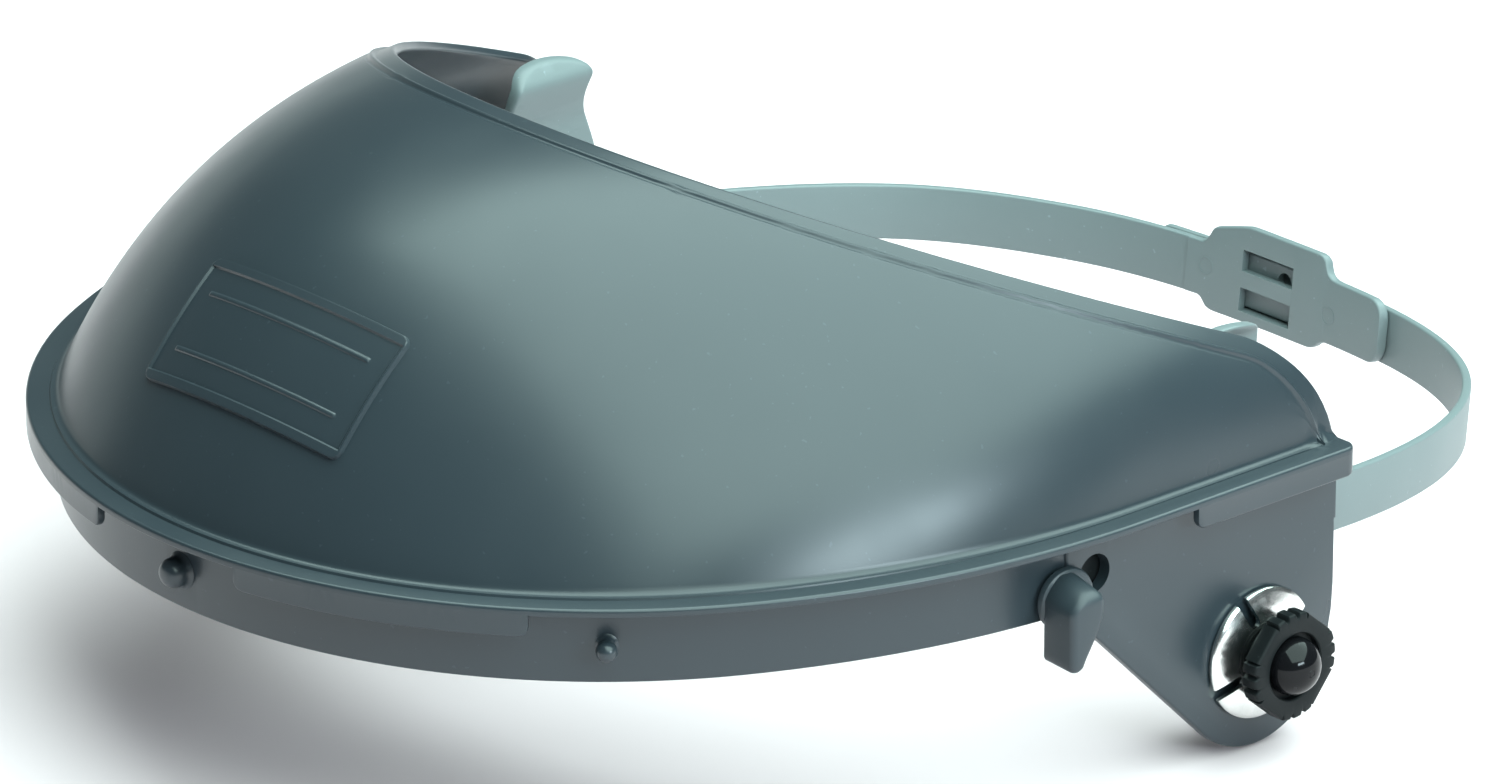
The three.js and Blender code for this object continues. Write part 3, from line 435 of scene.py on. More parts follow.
def dome_shares():
    near_end = [0, .05, .12, .25, .4, .6, 1, 1.8, 2.8, 3.3, 3.5, 3.7, 3.9, 4.1, 4.4, 5, 6, 7.6, 9.6]
    body = np.linspace(0, HALF_LENGTH - 12, 78)
    distances = sorted(set(body.round(4)) | {HALF_LENGTH - d for d in near_end})
    half = [share_at(d) for d in distances]
    half[-1] = 1.0
    return [-s for s in half[:0:-1]] + half


def dome_mesh():
    shares = dome_shares()
    tops = [dome_top(s) for s in shares]
    outline = [dome_raw(s, t)[0] for s, t in zip(shares, tops)]
    edge = []
    for s in (-1, 1):
        edge += list(dome_raw(s, np.linspace(0, tops[-1], 120)))
    dense = [np.array(edge)]
    for a, b in zip(outline[:-1], outline[1:]):
        count = max(int(np.linalg.norm(b - a) / 0.06), 2)
        dense.append(a + (b - a) * np.linspace(0, 1, count, endpoint=False)[:, None])
    dense = np.vstack(dense + [np.array(outline[-1:])])
    tree = KDTree(len(dense))
    for i, p in enumerate(dense):
        tree.insert(p, i)
    tree.balance()

    def to_edge(points):
        return np.array([tree.find(p)[2] for p in points])

    outer, inner = [], []
    for share, top in zip(shares, tops):
        rises = np.linspace(0, top, 240)
        line = dome_raw(share, rises)
        length = np.r_[0, np.cumsum(np.linalg.norm(np.diff(line, axis=0), axis=1))]
        total = length[-1]
        far = to_edge(line)
        inside = far > BORDER_WIDTH
        crease = total - length[np.nonzero(inside)[0][-1]] if inside.any() else total
        scale = min(total / 30, 1)
        from_top = [0, .06, .14, .26, .42, .62, 1.0 * scale, 1.4 * scale, 1.8 * scale]
        lean = max(crease / BORDER_WIDTH, 1) * scale
        from_top += [crease * k for k in (.6, .75)]
        from_top += [crease + k * lean for k in np.arange(-0.6, 2.1, 0.125)]
        last = min(crease + 2.3 * lean, total * 0.93)
        foot_rows = [2.6, 1.9, 1.5, 1.2, .95, .7, .5, .3, 0]
        foot_scale = min((total - last) / 8, 1)
        from_top += list(np.linspace(last, total - 3.4 * foot_scale, 30))
        from_top += [total - f * foot_scale for f in foot_rows]
        at = total - np.clip(np.maximum.accumulate(from_top), 0, total)
        r = np.interp(at, length, rises)
        raw, normal = dome_raw(share, r), dome_normal(share, r)
        d = to_edge(raw)
        push = -BORDER_STEP * (1 - soft_step(d, BORDER_WIDTH - 0.4, BORDER_WIDTH + 0.3))
        push += RIDGE_HEIGHT * hump(d - BORDER_WIDTH - 0.5, 0.55)
        push -= CREASE_DEPTH * hump(d - BORDER_WIDTH - 1.4, 0.5)
        push -= round_over(d, 0.6)
        push += round_over(np.maximum(raw[:, 2], 0), 1.1)
        outer.append(raw + normal * push[:, None])
        rows = np.r_[np.array([0, .06, .14, .26, .42, .62]), np.linspace(1.2 * scale, total, 26)]
        r = np.interp(total - np.clip(np.maximum.accumulate(rows), 0, total), length, rises)
        raw, normal = dome_raw(share, r), dome_normal(share, r)
        push = -WALL_THICK + round_over(to_edge(raw), 0.6)
        inner.append(raw + normal * push[:, None])
    sections = [np.vstack([o[::-1], i]) for o, i in zip(outer, inner)]
    return loft(sections)


# ---------- flange, band and lips ----------
END_FINE = (.03, .1, .2, .35, .6, .9, 1.3, 1.8, 2.4, 3)


def flange_mesh():
    inner = WALL_INSET + WALL_THICK
    profile = rounded([
        (0, 0), (inner + 0.5, 0), (inner + 0.5, -1.2), (inner, -2.2), (inner, -BAND_HEIGHT),
        (WALL_INSET, -BAND_HEIGHT), (WALL_INSET, -FLANGE_THICK), (0, -FLANGE_THICK),
    ], [0.6, 0.2, 0.2, 0.4, 0.5, 0.5, 0.5, 0.3], steps=5)

    def section(d):
        drawn_in = float(round_over(HALF_LENGTH - abs(d), FLANGE_CORNER))
        return [(inset + drawn_in * max(1 - inset / 4.4, 0), z) for inset, z in profile]
    return sweep(section, stations(-HALF_LENGTH, HALF_LENGTH, 2.2, END_FINE))


def lip_mesh(start, end):
    """Lip hanging from the flange's edge between two distances, its lower corners rounded."""
    corners = [(0.02, -0.5), (LIP_THICK, -0.5), (LIP_THICK, -LIP_DROP), (0.02, -LIP_DROP)]
    profile = rounded(corners, [0, 0, 0.3, 0.4])

    def section(d):
        near = min(d - start, end - d)
        lift = float(round_over(near, 1.8)) * 0.96
        drawn_in = float(round_over(HALF_LENGTH - abs(d), FLANGE_CORNER))
        return [(inset + drawn_in, z + lift if z < -3 else z) for inset, z in profile]
    return sweep(section, stations(start, end, 2, (.06, .2, .45, .8, 1.2, 1.8)))


def lips():
    front = [turn * FRONT_RADIUS for turn in FRONT_LIP]
    rear = (FRONT_ARC + SIDE_ARC + REAR_LIP_Y - SIDE_CENTRE_Y, HALF_LENGTH - 0.3)
    made = []
    for low, high in (front, rear):
        made += [lip_mesh(low, high), lip_mesh(-high, -low)]
    return made


def ear_mesh(side):
    """Side ear: straight edges down to a round end about the tilt axis."""
    reach = math.hypot(EAR_FRONT_Y, BAND_HEIGHT + PIVOT_Z)
    tangent = math.atan2(-BAND_HEIGHT - PIVOT_Z, EAR_FRONT_Y) + math.acos(EAR_RADIUS / reach)
    low = arc(EAR_RADIUS, tangent, 2 * math.pi, 49, (0, PIVOT_Z))
    rear = [(REAR_Y - 0.3, PIVOT_Z + 3), (REAR_Y, PIVOT_Z + 8), (REAR_Y, -0.6)]
    front = [(EAR_FRONT_Y, -0.6), (EAR_FRONT_Y, -BAND_HEIGHT + 1)]
    outline = rounded(low + rear + front, [0] * len(low) + [3, 3, 0, 0, 2])
    mesh = side_prism(outline, EAR_INNER_X, EAR_X, edge=0.5)
    return mirrored(mesh, side)


def stud_mesh(angle, neck, length, ball=0):
    """Window stud on a small collar: ball-ended where ball is its radius, else with a domed end."""
    base = FRONT_RADIUS - WALL_INSET - 1
    profile = [(0, base), (neck + 0.7, base), (neck + 0.7, base + 1.05)]
    profile += [(neck + 0.25, base + 1.35), (neck, base + 1.8)]
    if ball:
        profile += [(neck * 0.9, base + 0.9 + length - ball * 1.5)]
        centre = base + 1 + length - ball
        for t in np.linspace(-0.65, math.pi / 2, 14):
            profile.append((max(ball * math.cos(t), 0), centre + ball * math.sin(t)))
    else:
        shoulder = base + length * 0.62
        profile += [(neck, shoulder)]
        for t in np.linspace(0.1, math.pi / 2, 10):
            profile.append((neck * max(math.cos(t), 0) ** 0.7, shoulder + (1 + length * 0.38) * math.sin(t)))
    profile[-1] = (0, profile[-1][1])
    return place(lathe(profile, 48), y=FRONT_CENTRE_Y, z=STUD_Z, turn_z=angle - math.pi / 2)


# ---------- name panel, left blank ----------
def panel_frame():
    """Middle of the panel on the dome and its upward direction."""
    rises = np.linspace(0, 1, 4001)
    line = dome_raw(0, rises)
    index = np.argmax(line[:, 2] > PANEL_Z)
    return rises[index], line[index]


PANEL_RISE, PANEL_CENTRE = panel_frame()
PANEL_UP = np.array([0, math.sin(PANEL_LEAN), math.cos(PANEL_LEAN)])


def panel_point(u, v, proud):
    """Point proud of the dome whose X is u and whose height along the panel is v, found by steps."""
    share, rise = u / 110, PANEL_RISE + v / 90
    for _ in range(10):
        p = dome_raw(share, rise)[0]
        share += (u - p[0]) / 130
        rise += (v - (p - PANEL_CENTRE) @ PANEL_UP) / 95
    return dome_raw(share, rise)[0] + dome_normal(share, np.array([rise]))[0] * proud


def panel_height(u, v):
    """Height over the dome: thin side ridges, broad bars above and below, two plain rules inside."""
    qu, qv = abs(u) - (PANEL_HALF_WIDTH - PANEL_CORNER), abs(v) - (PANEL_HALF_HEIGHT - PANEL_CORNER)
    edge = PANEL_CORNER - (math.hypot(max(qu, 0), max(qv, 0)) + min(max(qu, qv), 0))
    height = -0.35 + 0.75 * soft_step(edge, 0.0, 0.45)
    ridge = soft_step(edge, 0.1, 0.5) * (1 - soft_step(edge, 0.8, 1.15))
    bar_edge = PANEL_HALF_HEIGHT - BAR_HEIGHT
    bar = soft_step(edge, 0.1, 0.5) * soft_step(abs(v), bar_edge - 0.15, bar_edge + 0.15)
    rule_end = PANEL_HALF_WIDTH - RULE_MARGIN
    inside = 1 - soft_step(abs(u), rule_end - 0.3, rule_end + 0.3)
    rule = inside * (1 - soft_step(abs(abs(v) - RULE_V), 0.25, 0.55))
    return height + 0.4 * max(ridge, bar, 0.55 * rule)


def panel_marks(half, fine):
    """Even marks from -half to half, and finer ones at the given distances from the middle."""
    line = set(np.linspace(-half, half, int(half * 2 / 1.2)).round(3))
    for e in fine:
        line |= {round(e, 3), round(-e, 3)}
    return sorted(line)


def panel_mesh():
    edge = (0, .1, .25, .45, .6, .8, .95, 1.15)
    across = [PANEL_HALF_WIDTH - e for e in edge + (1.5, 2.6, 4.7, 4.9, 5.1, 5.3, 5.5)]
    upwards = [PANEL_HALF_HEIGHT - e for e in edge + (1.9, 2.0, 2.1, 2.2, 2.3, 2.5)]
    upwards += [RULE_V + e for e in (-.7, -.55, -.45, -.35, -.25, 0, .25, .35, .45, .55, .7)]
    us, vs = panel_marks(PANEL_HALF_WIDTH, across), panel_marks(PANEL_HALF_HEIGHT, upwards)
    top, bottom = [], []
    for v in vs:
        past = max(abs(v) - (PANEL_HALF_HEIGHT - PANEL_CORNER), 0) / PANEL_CORNER
        reach = PANEL_HALF_WIDTH - PANEL_CORNER * (1 - math.sqrt(max(1 - past * past, 0)))
        line = [u * reach / PANEL_HALF_WIDTH for u in us]
        top.append([panel_point(u, v, panel_height(u, v)) for u in line])
        bottom.append([panel_point(u, v, -1.2) for u in (line[0], line[-1])])

    def build(bm):
        grid = [[bm.verts.new(p) for p in row] for row in top]
        weave(bm, grid)
        base = [bm.verts.new(p) for p in (*bottom[0], *bottom[-1][::-1])]
        right, left = [row[-1] for row in grid], [row[0] for row in grid[::-1]]
        for k, run in enumerate((grid[0], right, grid[-1][::-1], left)):
            bm.faces.new(run[::-1] + [base[k], base[(k + 1) % 4]])
        bm.faces.new(base)
        bmesh.ops.triangulate(bm, faces=[f for f in bm.faces if len(f.verts) > 4])
    return mesh_from(build)


def latch_place(side):
    """X, Y and turn about Z of a latch on the band's outer face."""
    angle = math.acos((SIDE_CENTRE_Y - LATCH_Y) / (SIDE_RADIUS - WALL_INSET))
    x = SIDE_CENTRE_X + (SIDE_RADIUS - WALL_INSET) * math.sin(angle)
    return side * x, LATCH_Y, side * (angle - math.pi / 2)


def bore(radius, x0, x1, y, z, side, segments=48):
    """Cutter for a round hole along X."""
    return mirrored(place(rod(radius, x0, x1, segments), y=y, z=z), side)


def crown_shell():
    parts = [flange_mesh(), ear_mesh(1), ear_mesh(-1), *lips(), panel_mesh()]
    parts += [stud_mesh(0, 2.75, 4)] + [stud_mesh(side * SIDE_STUD_ANGLE, 1.35, 5, 1.9) for side in (1, -1)]
    shell = combine(dome_mesh(), parts)
    cuts = []
    for side in (1, -1):
        cuts.append(bore(PIVOT_HOLE, 95, 115, 0, PIVOT_Z, side))
        cuts.append(bore(WINDOW_HOLE_RADIUS, 90, 115, WINDOW_HOLE_Y, WINDOW_HOLE_Z, side, 64))
        x, y, turn = latch_place(side)
        cuts.append(place(rod(SHAFT_HOLE, -6, 6), x, y, LATCH_Z, turn_z=turn))
    return combine(shell, cuts, "DIFFERENCE")


# ---------- latch ----------
def rounded_box(x0, x1, y0, y1, radius, z, steps=4):
    ring = rounded([(x0, y0), (x1, y0), (x1, y1), (x0, y1)], radius, steps)
    return [(x, y, z) for x, y in ring]


def turn_latch():
    """Round disc, shaft and thumb lever; the lever narrows to its tip and its top falls outwards."""
    rim = [(-.3, LATCH_SEAT), (0, LATCH_SEAT + 0.3), (0, LATCH_FACE - 0.8)]
    rim += [(-.2, LATCH_FACE - 0.35), (-.7, LATCH_FACE - 0.1)]
    disc = lathe([(0, LATCH_SEAT)] + [(LATCH_RADIUS + r, x) for r, x in rim] + [(0, LATCH_FACE)], 72)
    tip = [(0, SHAFT_END), (SHAFT_RADIUS - 0.2, SHAFT_END), (SHAFT_RADIUS, SHAFT_END + 0.3)]
    shaft = lathe(tip + [(SHAFT_RADIUS, 1.2), (0, 1.2)], 40)
    lower = [(LEVER_LOW + up, shrink) for up, shrink in ((0, .9), (.15, .5), (.45, .2), (.9, 0))]
    middle = [(z, 0) for z in (-8, -6, -4, -2.6, -1.2, 0, 1.2, 2.2, 2.9)]
    upper = [(LEVER_TOP - down, shrink)
             for down, shrink in ((1.8, .06), (1.3, .18), (.8, .42), (.4, .8), (.15, 1.2), (0, 1.8))]
    rings = []
    for z, shrink in lower + middle + upper:
        rear = -3.0 + 5.1 * soft_step(z, -12.5, 0.5)
        front = LEVER_FRONT + 2.2 * soft_step(z, 0.8, 5.6)
        corner = min(1.3, (rear - front) * 0.42)
        rear_edge = max(rear - shrink, LEVER_FRONT + 1 + shrink)
        ring = rounded_box(1.3, LEVER_REACH - shrink, front + shrink, rear_edge, corner, z, 5)
        fall = max(z, 0) / LEVER_TOP * LEVER_TOP_SLOPE
        rings.append([(x, y, z - fall * max(x - 1.4, 0)) for x, y, z in ring])
    return combine(disc, [loft(rings), shaft])


def latch_retainer():
    """Flat plate with round ends behind the band wall, bored for the latch shaft."""
    face = -WALL_THICK - RETAINER_SEAT
    lean = math.atan2(RETAINER_END[1], RETAINER_END[0])
    outline = []
    for centre, start in (((0, 0), lean + math.pi / 2), (RETAINER_END, lean - math.pi / 2)):
        outline += arc(RETAINER_RADIUS, start, start + math.pi, 25, centre)
    plate = side_prism(np.array(outline), face - 1, face, edge=0.2)
    return combine(plate, [rod(SHAFT_HOLE, face - 3, face + 2)], "DIFFERENCE")


# ---------- tilt axis hardware ----------
def washer_dome(radius):
    return WASHER_RISE * (1 - ((radius - 4) / (WASHER_RADIUS - 4)) ** 1.7)


def spring_washer():
    """Domed washer with four slots open to its edge."""
    x, edge = WASHER_X, WASHER_RADIUS
    radii = np.linspace(4.25, edge - 0.25, 14)
    profile = [(r, x + washer_dome(r) + WASHER_THICK) for r in radii]
    profile += [(edge - 0.07, x + WASHER_THICK - 0.1), (edge, x + 0.62)]
    profile += [(edge, x + 0.3), (edge - 0.07, x + 0.1)]
    profile += [(r, x + washer_dome(r)) for r in radii[::-1]]
    profile += [(4, x + WASHER_RISE + 0.25), (4, x + WASHER_RISE + 0.65)]
    body = lathe(profile + [profile[0]], 168)
    end = arc(SLOT_RADIUS, math.pi / 2, 1.5 * math.pi, 17, (SLOT_END, 0))
    mouth = [(12.3, -SLOT_RADIUS), (13.6, -2.2), (13.6, 2.2), (12.3, SLOT_RADIUS)]
    outline = rounded(end + mouth, [0] * len(end) + [2, 0, 0, 2])
    cuts = []
    for i in range(4):
        slot = loft([[(x + reach, y, z) for y, z in outline] for reach in (-5, 6)])
        cuts.append(place(slot, turn_x=math.radians(25 + 90 * i)))
    return combine(body, cuts, "DIFFERENCE")


def nut_radius(angle):
    """Outline of the nut: four flats with round teeth between neighbouring flats."""
    quarter = math.pi / 2
    local = abs((angle - NUT_TURN + quarter / 2) % quarter - quarter / 2)
    if local < NUT_FLAT_HALF:
        return min(NUT_RADIUS * math.cos(NUT_FLAT_HALF) / math.cos(local) * 0.985, NUT_RADIUS)
    past = (local - NUT_FLAT_HALF) / (quarter - 2 * NUT_FLAT_HALF)
    wave = (past * NUT_TEETH) % 1
    return NUT_RADIUS * (1 - TOOTH_DEPTH * soft_step(abs(wave - 0.5), 0.26, 0.46))


NUT_TURNS = np.linspace(0, 2 * math.pi, 480, endpoint=False)


def nut_ring(inset, x):
    radii = [(nut_radius(t) - inset, t) for t in NUT_TURNS]
    return [(x, r * math.cos(t), r * math.sin(t)) for r, t in radii]


def circle_ring(radius, x):
    return [(x, radius * math.cos(t), radius * math.sin(t)) for t in NUT_TURNS]


def tension_nut():
    """Flared nut: round neck, toothed rim with eased edges, and a recess for the screw's cap."""
    face, back, bore_radius = NUT_FACE_X, NUT_FACE_X - NUT_THICK, SCREW_RADIUS + GAP
    recess = CAP_RADIUS + 0.9
    neck = [(bore_radius, NUT_BASE_X), (6.0, NUT_BASE_X), (6.4, NUT_BASE_X + 0.3), (6.4, NUT_BASE_X + 1)]
    neck += [(8.4, back - 0.1)]
    rim = [(1.3, back), (.35, back), (.1, back + .12), (0, back + .35), (0, face - .5), (.06, face - .3),
           (.2, face - .12), (.45, face), (1.6, face)]
    hollow = [(recess + 0.55, face), (recess + 0.2, face - .08), (recess, face - .3), (recess, face - 1.6),
              (bore_radius, face - 1.6)]
    rings = [circle_ring(*step) for step in neck] + [nut_ring(*step) for step in rim]
    return loft(rings + [circle_ring(*step) for step in hollow], cyclic=True)


def pivot_screw():
    """Screw with a flat head inside the headgear and a domed cap, marked at its tip, in the nut."""
    cap = NUT_FACE_X - 1.6 + GAP
    head = PLATE_INNER_X - GAP
    profile = [(0, head - 1.5), (2.6, head - 1.6), (3.0, head - 2.1), (5.4, head - 2.1), (5.9, head - 1.8)]
    profile += [(6, head - 1.4), (6, head), (SCREW_RADIUS, head), (SCREW_RADIUS, cap)]
    profile += [(CAP_RADIUS - .1, cap), (CAP_RADIUS, cap + .12), (CAP_RADIUS, cap + .6)]
    for t in np.linspace(0, math.pi / 2, 17)[1:-2]:
        profile.append((CAP_RADIUS * math.cos(t), cap + 0.6 + CAP_RADIUS * 0.9 * math.sin(t)))
    tip = cap + 0.6 + CAP_RADIUS * 0.9
    profile += [(.78, tip - .07), (.7, tip - .14), (.55, tip - .14), (.47, tip - .05), (0, tip - .02)]
    return lathe(profile, 96)


def ring_mesh(r0, r1, x0, x1, edge=0.15):
    """Flat ring with eased edges."""
    profile = [(r0, x0 + edge), (r0 + edge, x0), (r1 - edge, x0), (r1, x0 + edge), (r1, x1 - edge),
               (r1 - edge, x1), (r0 + edge, x1), (r0, x1 - edge)]
    return lathe(profile + [profile[0]], 72)


# ---------- headgear ----------
def from_loop(y, z, top):
    """World Y and Z of a point in the tilted plane of a strap or band whose upper edge is at top."""
    c, s = math.cos(LOOP_TILT), math.sin(LOOP_TILT)
    return y * c - z * s, top + y * s + z * c


def plate_outline():
    """(Y, Z) outline of the temple plate, front edge first, clockwise from the pivot boss."""
    def curve(a, b, c, count=10):
        t = np.linspace(0, 1, count)[1:, None]
        a, b, c = np.array(a), np.array(b), np.array(c)
        return list((1 - t) ** 2 * a + 2 * t * (1 - t) * b + t * t * c)
    z, top = PIVOT_Z, PLATE_TOP_Z
    line = [(-PLATE_END_RADIUS, z), (-9.5, -8)]
    line += curve((-9.5, -8), (-6.6, 2), (-5.9, 10))
    line += [(-5.4, top - 6)]
    line += curve((-5.4, top - 6), (-4.8, top - 1), (0.5, top - 0.2))
    line += curve((0.5, top - 0.2), (5, top + 0.5), (10, top - 0.8))
    line += curve((10, top - 0.8), (14.8, top - 2), (13.7, top - 4.8))
    line += curve((13.7, top - 4.8), (12.4, top - 8), (14, 8))
    line += curve((14, 8), (18.5, -3), (18.5, -12))
    line += curve((18.5, -12), (18.5, -27), (PLATE_END_RADIUS, z), 14)
    line += arc(PLATE_END_RADIUS, 0, -math.pi, 30, (0, z))[1:-1]
    return np.array([tuple(p) for p in line])


def plate_bend(z):
    """How far the plate leans towards the head near its top, and how much thicker it is there."""
    lean = 2.2 * soft_step(z, 6, PLATE_TOP_Z - 2.5)
    back = 2.4 * soft_step(z, PLATE_TOP_Z - 4, PLATE_TOP_Z + 0.5)
    return lean - back, 0.8 * soft_step(z, 8, PLATE_TOP_Z - 3)


def temple_plate():
    """Flat plate bent towards the head near its top, with a boss about the screw."""
    flat = side_prism(plate_outline(), PLATE_INNER_X, PLATE_INNER_X + PLATE_THICK, edge=0.7, steps=4)
    bm = bmesh.new()
    bm.from_mesh(flat)
    caps = [f for f in bm.faces if len(f.verts) > 4]
    bmesh.ops.triangulate(bm, faces=caps)
    for level in np.arange(4, 21, 0.75):
        everything = bm.verts[:] + bm.edges[:] + bm.faces[:]
        bmesh.ops.bisect_plane(bm, geom=everything, plane_co=(0, 0, level * MM), plane_no=(0, 0, 1))
    for v in bm.verts:
        z = v.co.z / MM
        lean, thicker = plate_bend(z)
        inner = (PLATE_INNER_X + PLATE_THICK / 2 - v.co.x / MM) / (PLATE_THICK / 2)
        v.co.x -= (lean + thicker * max(inner, 0)) * MM
    bm.to_mesh(flat)
    bm.free()
    foot, top = PLATE_INNER_X + 1, EAR_INNER_X - 2 * GAP - DISC_THICK
    rim = [(BOSS_RADIUS, foot), (BOSS_RADIUS, top - 0.4), (BOSS_RADIUS - 0.4, top)]
    boss = lathe([(0, foot), *rim, (0, top)], 72)
    stud = from_loop(STRAP_STUD_Y, -STRAP_WIDTH / 2, STRAP_Z)
    rivet = from_loop(RIVET_Y, -BAND_WIDTH / 2, BAND_TOP_Z)
    solid = combine(flat, [place(boss, z=PIVOT_Z)])
    holes = ((SCREW_RADIUS, (0, PIVOT_Z)), (STUD_RADIUS, stud), (RIVET_RADIUS, rivet))
    return combine(solid, [bore(radius + GAP, 85, 104, *at, 1) for radius, at in holes], "DIFFERENCE")


def strap_point(turn, offset, z):
    """Point of the rear loop: turn 0 is the middle of the back, offset is outwards."""
    s, c = math.sin(turn), max(math.cos(turn), 0)
    x = (STRAP_HALF_WIDTH + offset) * math.copysign(abs(s) ** (2 / STRAP_POWER), s)
    y = STRAP_CENTRE_Y + (STRAP_DEPTH + offset) * c ** (2 / STRAP_POWER)
    y, z = from_loop(y, z, STRAP_Z)
    return x, y, z


def left_layer(turn):
    """Offset of the left half: its free tail springs outwards."""
    past = min(max((-turn - TAIL_START) / (TAIL_END - TAIL_START), 0), 1)
    return TAIL_SPRING * past * past


def right_layer(turn):
    """Offset of the right half: it steps inwards to run under the left half."""
    return -(STRAP_THICK + GAP) * soft_step(turn, -STEP_END, -STEP_START)


def strap_turns(start, end, step=1.2):
    """Pairs of turn and distance from the start, nearly evenly spaced but closer near both ends."""
    fine = np.linspace(start, end, 1200)
    line = np.array([strap_point(t, 0, 0) for t in fine])
    length = np.r_[0, np.cumsum(np.linalg.norm(np.diff(line, axis=0), axis=1))]
    marks = np.linspace(0, length[-1], max(int(length[-1] / step), 3))
    ends = [e for e in (.1, .3, .6, 1, 1.5, 2.2, 3) if e < length[-1] / 3]
    marks = sorted(set(marks) | set(ends) | {length[-1] - e for e in ends})
    return [(float(np.interp(m, length, fine)), m) for m in marks]


def strap_solid(layer, inner, outer, start, end, top, width, edge=0.45, round_start=0, step=1.6):
    """Strip along the strap line: rounded long edges, and where asked a start rounded in the flat."""
    outline = rounded([(outer, 0), (outer, -width), (inner, -width), (inner, 0)], edge, 4)
    rings = []
    for turn, from_start in strap_turns(start, end, step):
        pinch = float(round_over(from_start, round_start)) if round_start else 0
        half = width / 2 - min(pinch, width / 2 - 0.4)
        ring = []
        for off, z in outline:
            level = top - width / 2 + (z + width / 2) * half / (width / 2)
            ring.append(strap_point(turn, layer(turn) + off, level))
        rings.append(ring)
    return loft(rings)


def front_turn():
    """Turn at which a strap half ends beside its stud."""
    return math.acos(((2 - STRAP_CENTRE_Y) / STRAP_DEPTH) ** (STRAP_POWER / 2))


def strap_hole(side):
    y, z = from_loop(STRAP_STUD_Y, -STRAP_WIDTH / 2, STRAP_Z)
    return bore(STUD_RADIUS + GAP, 80, 110, y, z, side)


def across_hole(x, z, radius, y0, y1):
    """Cutter through the back of the loop, along its tilted Y direction."""
    circle = arc(radius, 0, 2 * math.pi * 31 / 32, 32, (x, z))
    return loft([[(xx, *from_loop(y, zz, STRAP_Z)) for xx, zz in circle] for y in (y0, y1)])


def rear_strap_left():
    """Near half with its stud hole, round free end and three adjusting holes."""
    body = strap_solid(left_layer, -STRAP_THICK, 0, -TAIL_END, front_turn(), 0, STRAP_WIDTH, round_start=2.4)
    back = STRAP_CENTRE_Y + STRAP_DEPTH
    holes = [across_hole(x, ADJUST_Z, ADJUST_RADIUS, back - 12, back + 12) for x in ADJUST_HOLES]
    return combine(body, [strap_hole(1)] + holes, "DIFFERENCE")


def buckle_edges(turn):
    """Top and bottom of the buckle plate and its neck at a turn given in degrees."""
    top = [(-7.0, 0), (-6.6, 0.35), (-6.2, 1.6), (-5.85, 3.0), (-5.5, 3.5), (-5.0, 3.8)]
    top += [(-2.9, 5.2), (-2.3, 5.6), (-1.8, BUCKLE_TOP), (2.5, BUCKLE_TOP)]
    top += [(2.85, BUCKLE_TOP - 0.25), (3.1, BUCKLE_TOP - 0.8)]
    top += [(3.22, 4.0), (3.32, 3.2), (3.5, 2.5), (3.8, 1.95), (4.2, 1.68), (4.7, NECK_TOP)]
    low = [(-7.1, -STRAP_WIDTH), (-6.7, -11.1), (-6.3, -12.0), (-6.0, -12.7), (-5.6, -13.0)]
    low += [(-5.1, BUCKLE_BOTTOM), (1.9, BUCKLE_BOTTOM), (2.3, -12.95), (2.6, -12.5)]
    low += [(2.95, -11.7), (3.25, -11.2), (3.7, NECK_BOTTOM)]
    return [float(np.interp(turn, *np.array(line).T)) for line in (top, low)]


def buckle_plate():
    """Buckle plate and its round-ended neck, with eased long edges."""
    back = -STRAP_THICK - BUCKLE_EXTRA
    outline = rounded([(0, 1), (0, 0), (back, 0), (back, 1)], 0.5, 4)
    turns = np.sort(np.r_[np.linspace(-8.6, NECK_END, 130), NECK_END - np.array([.02, .08, .2, .4, .65])])
    ends = [np.array(strap_point(math.radians(turn), 0, 0)) for turn in (NECK_END, NECK_END - 1)]
    per_degree = np.linalg.norm(ends[0] - ends[1])
    rings = []
    for turn in turns:
        top, low = buckle_edges(turn)
        pinch = float(round_over((NECK_END - turn) * per_degree, 3.4))
        ring = []
        for off, share in outline:
            near = min(share, 1 - share)
            z = low + pinch + near if share < 0.5 else top - pinch - near
            ring.append(strap_point(math.radians(turn), right_layer(math.radians(turn)) + off, z))
        rings.append(ring)
    return loft(rings)


def ejector_mark(turn, z):
    """Faint raised ring left by an ejector pin on the inner face of the buckle."""
    middle = strap_point(turn, right_layer(turn) - STRAP_THICK - BUCKLE_EXTRA, 0)[0]
    rings = []
    for t in np.linspace(0, 2 * math.pi, 48, endpoint=False):
        ring = []
        for radius, lift in ((1.5, -0.3), (1.5, 0.05), (1.62, 0.1), (1.74, 0.05), (1.74, -0.3)):
            x = middle + radius * math.cos(t)
            y, level = from_loop(0, z + radius * math.sin(t), STRAP_Z)
            base = inner_face_y(x) - lift
            ring.append((x, y + base * math.cos(LOOP_TILT), level + base * math.sin(LOOP_TILT)))
        rings.append(ring)
    return loft(rings, cyclic=True)


def inner_face_y(x):
    """Loop-plane Y of the buckle's inner face at a given X."""
    grow = right_layer(0) - STRAP_THICK - BUCKLE_EXTRA
    s = (abs(x) / (STRAP_HALF_WIDTH + grow)) ** (STRAP_POWER / 2)
    return STRAP_CENTRE_Y + (STRAP_DEPTH + grow) * math.cos(math.asin(s)) ** (2 / STRAP_POWER)


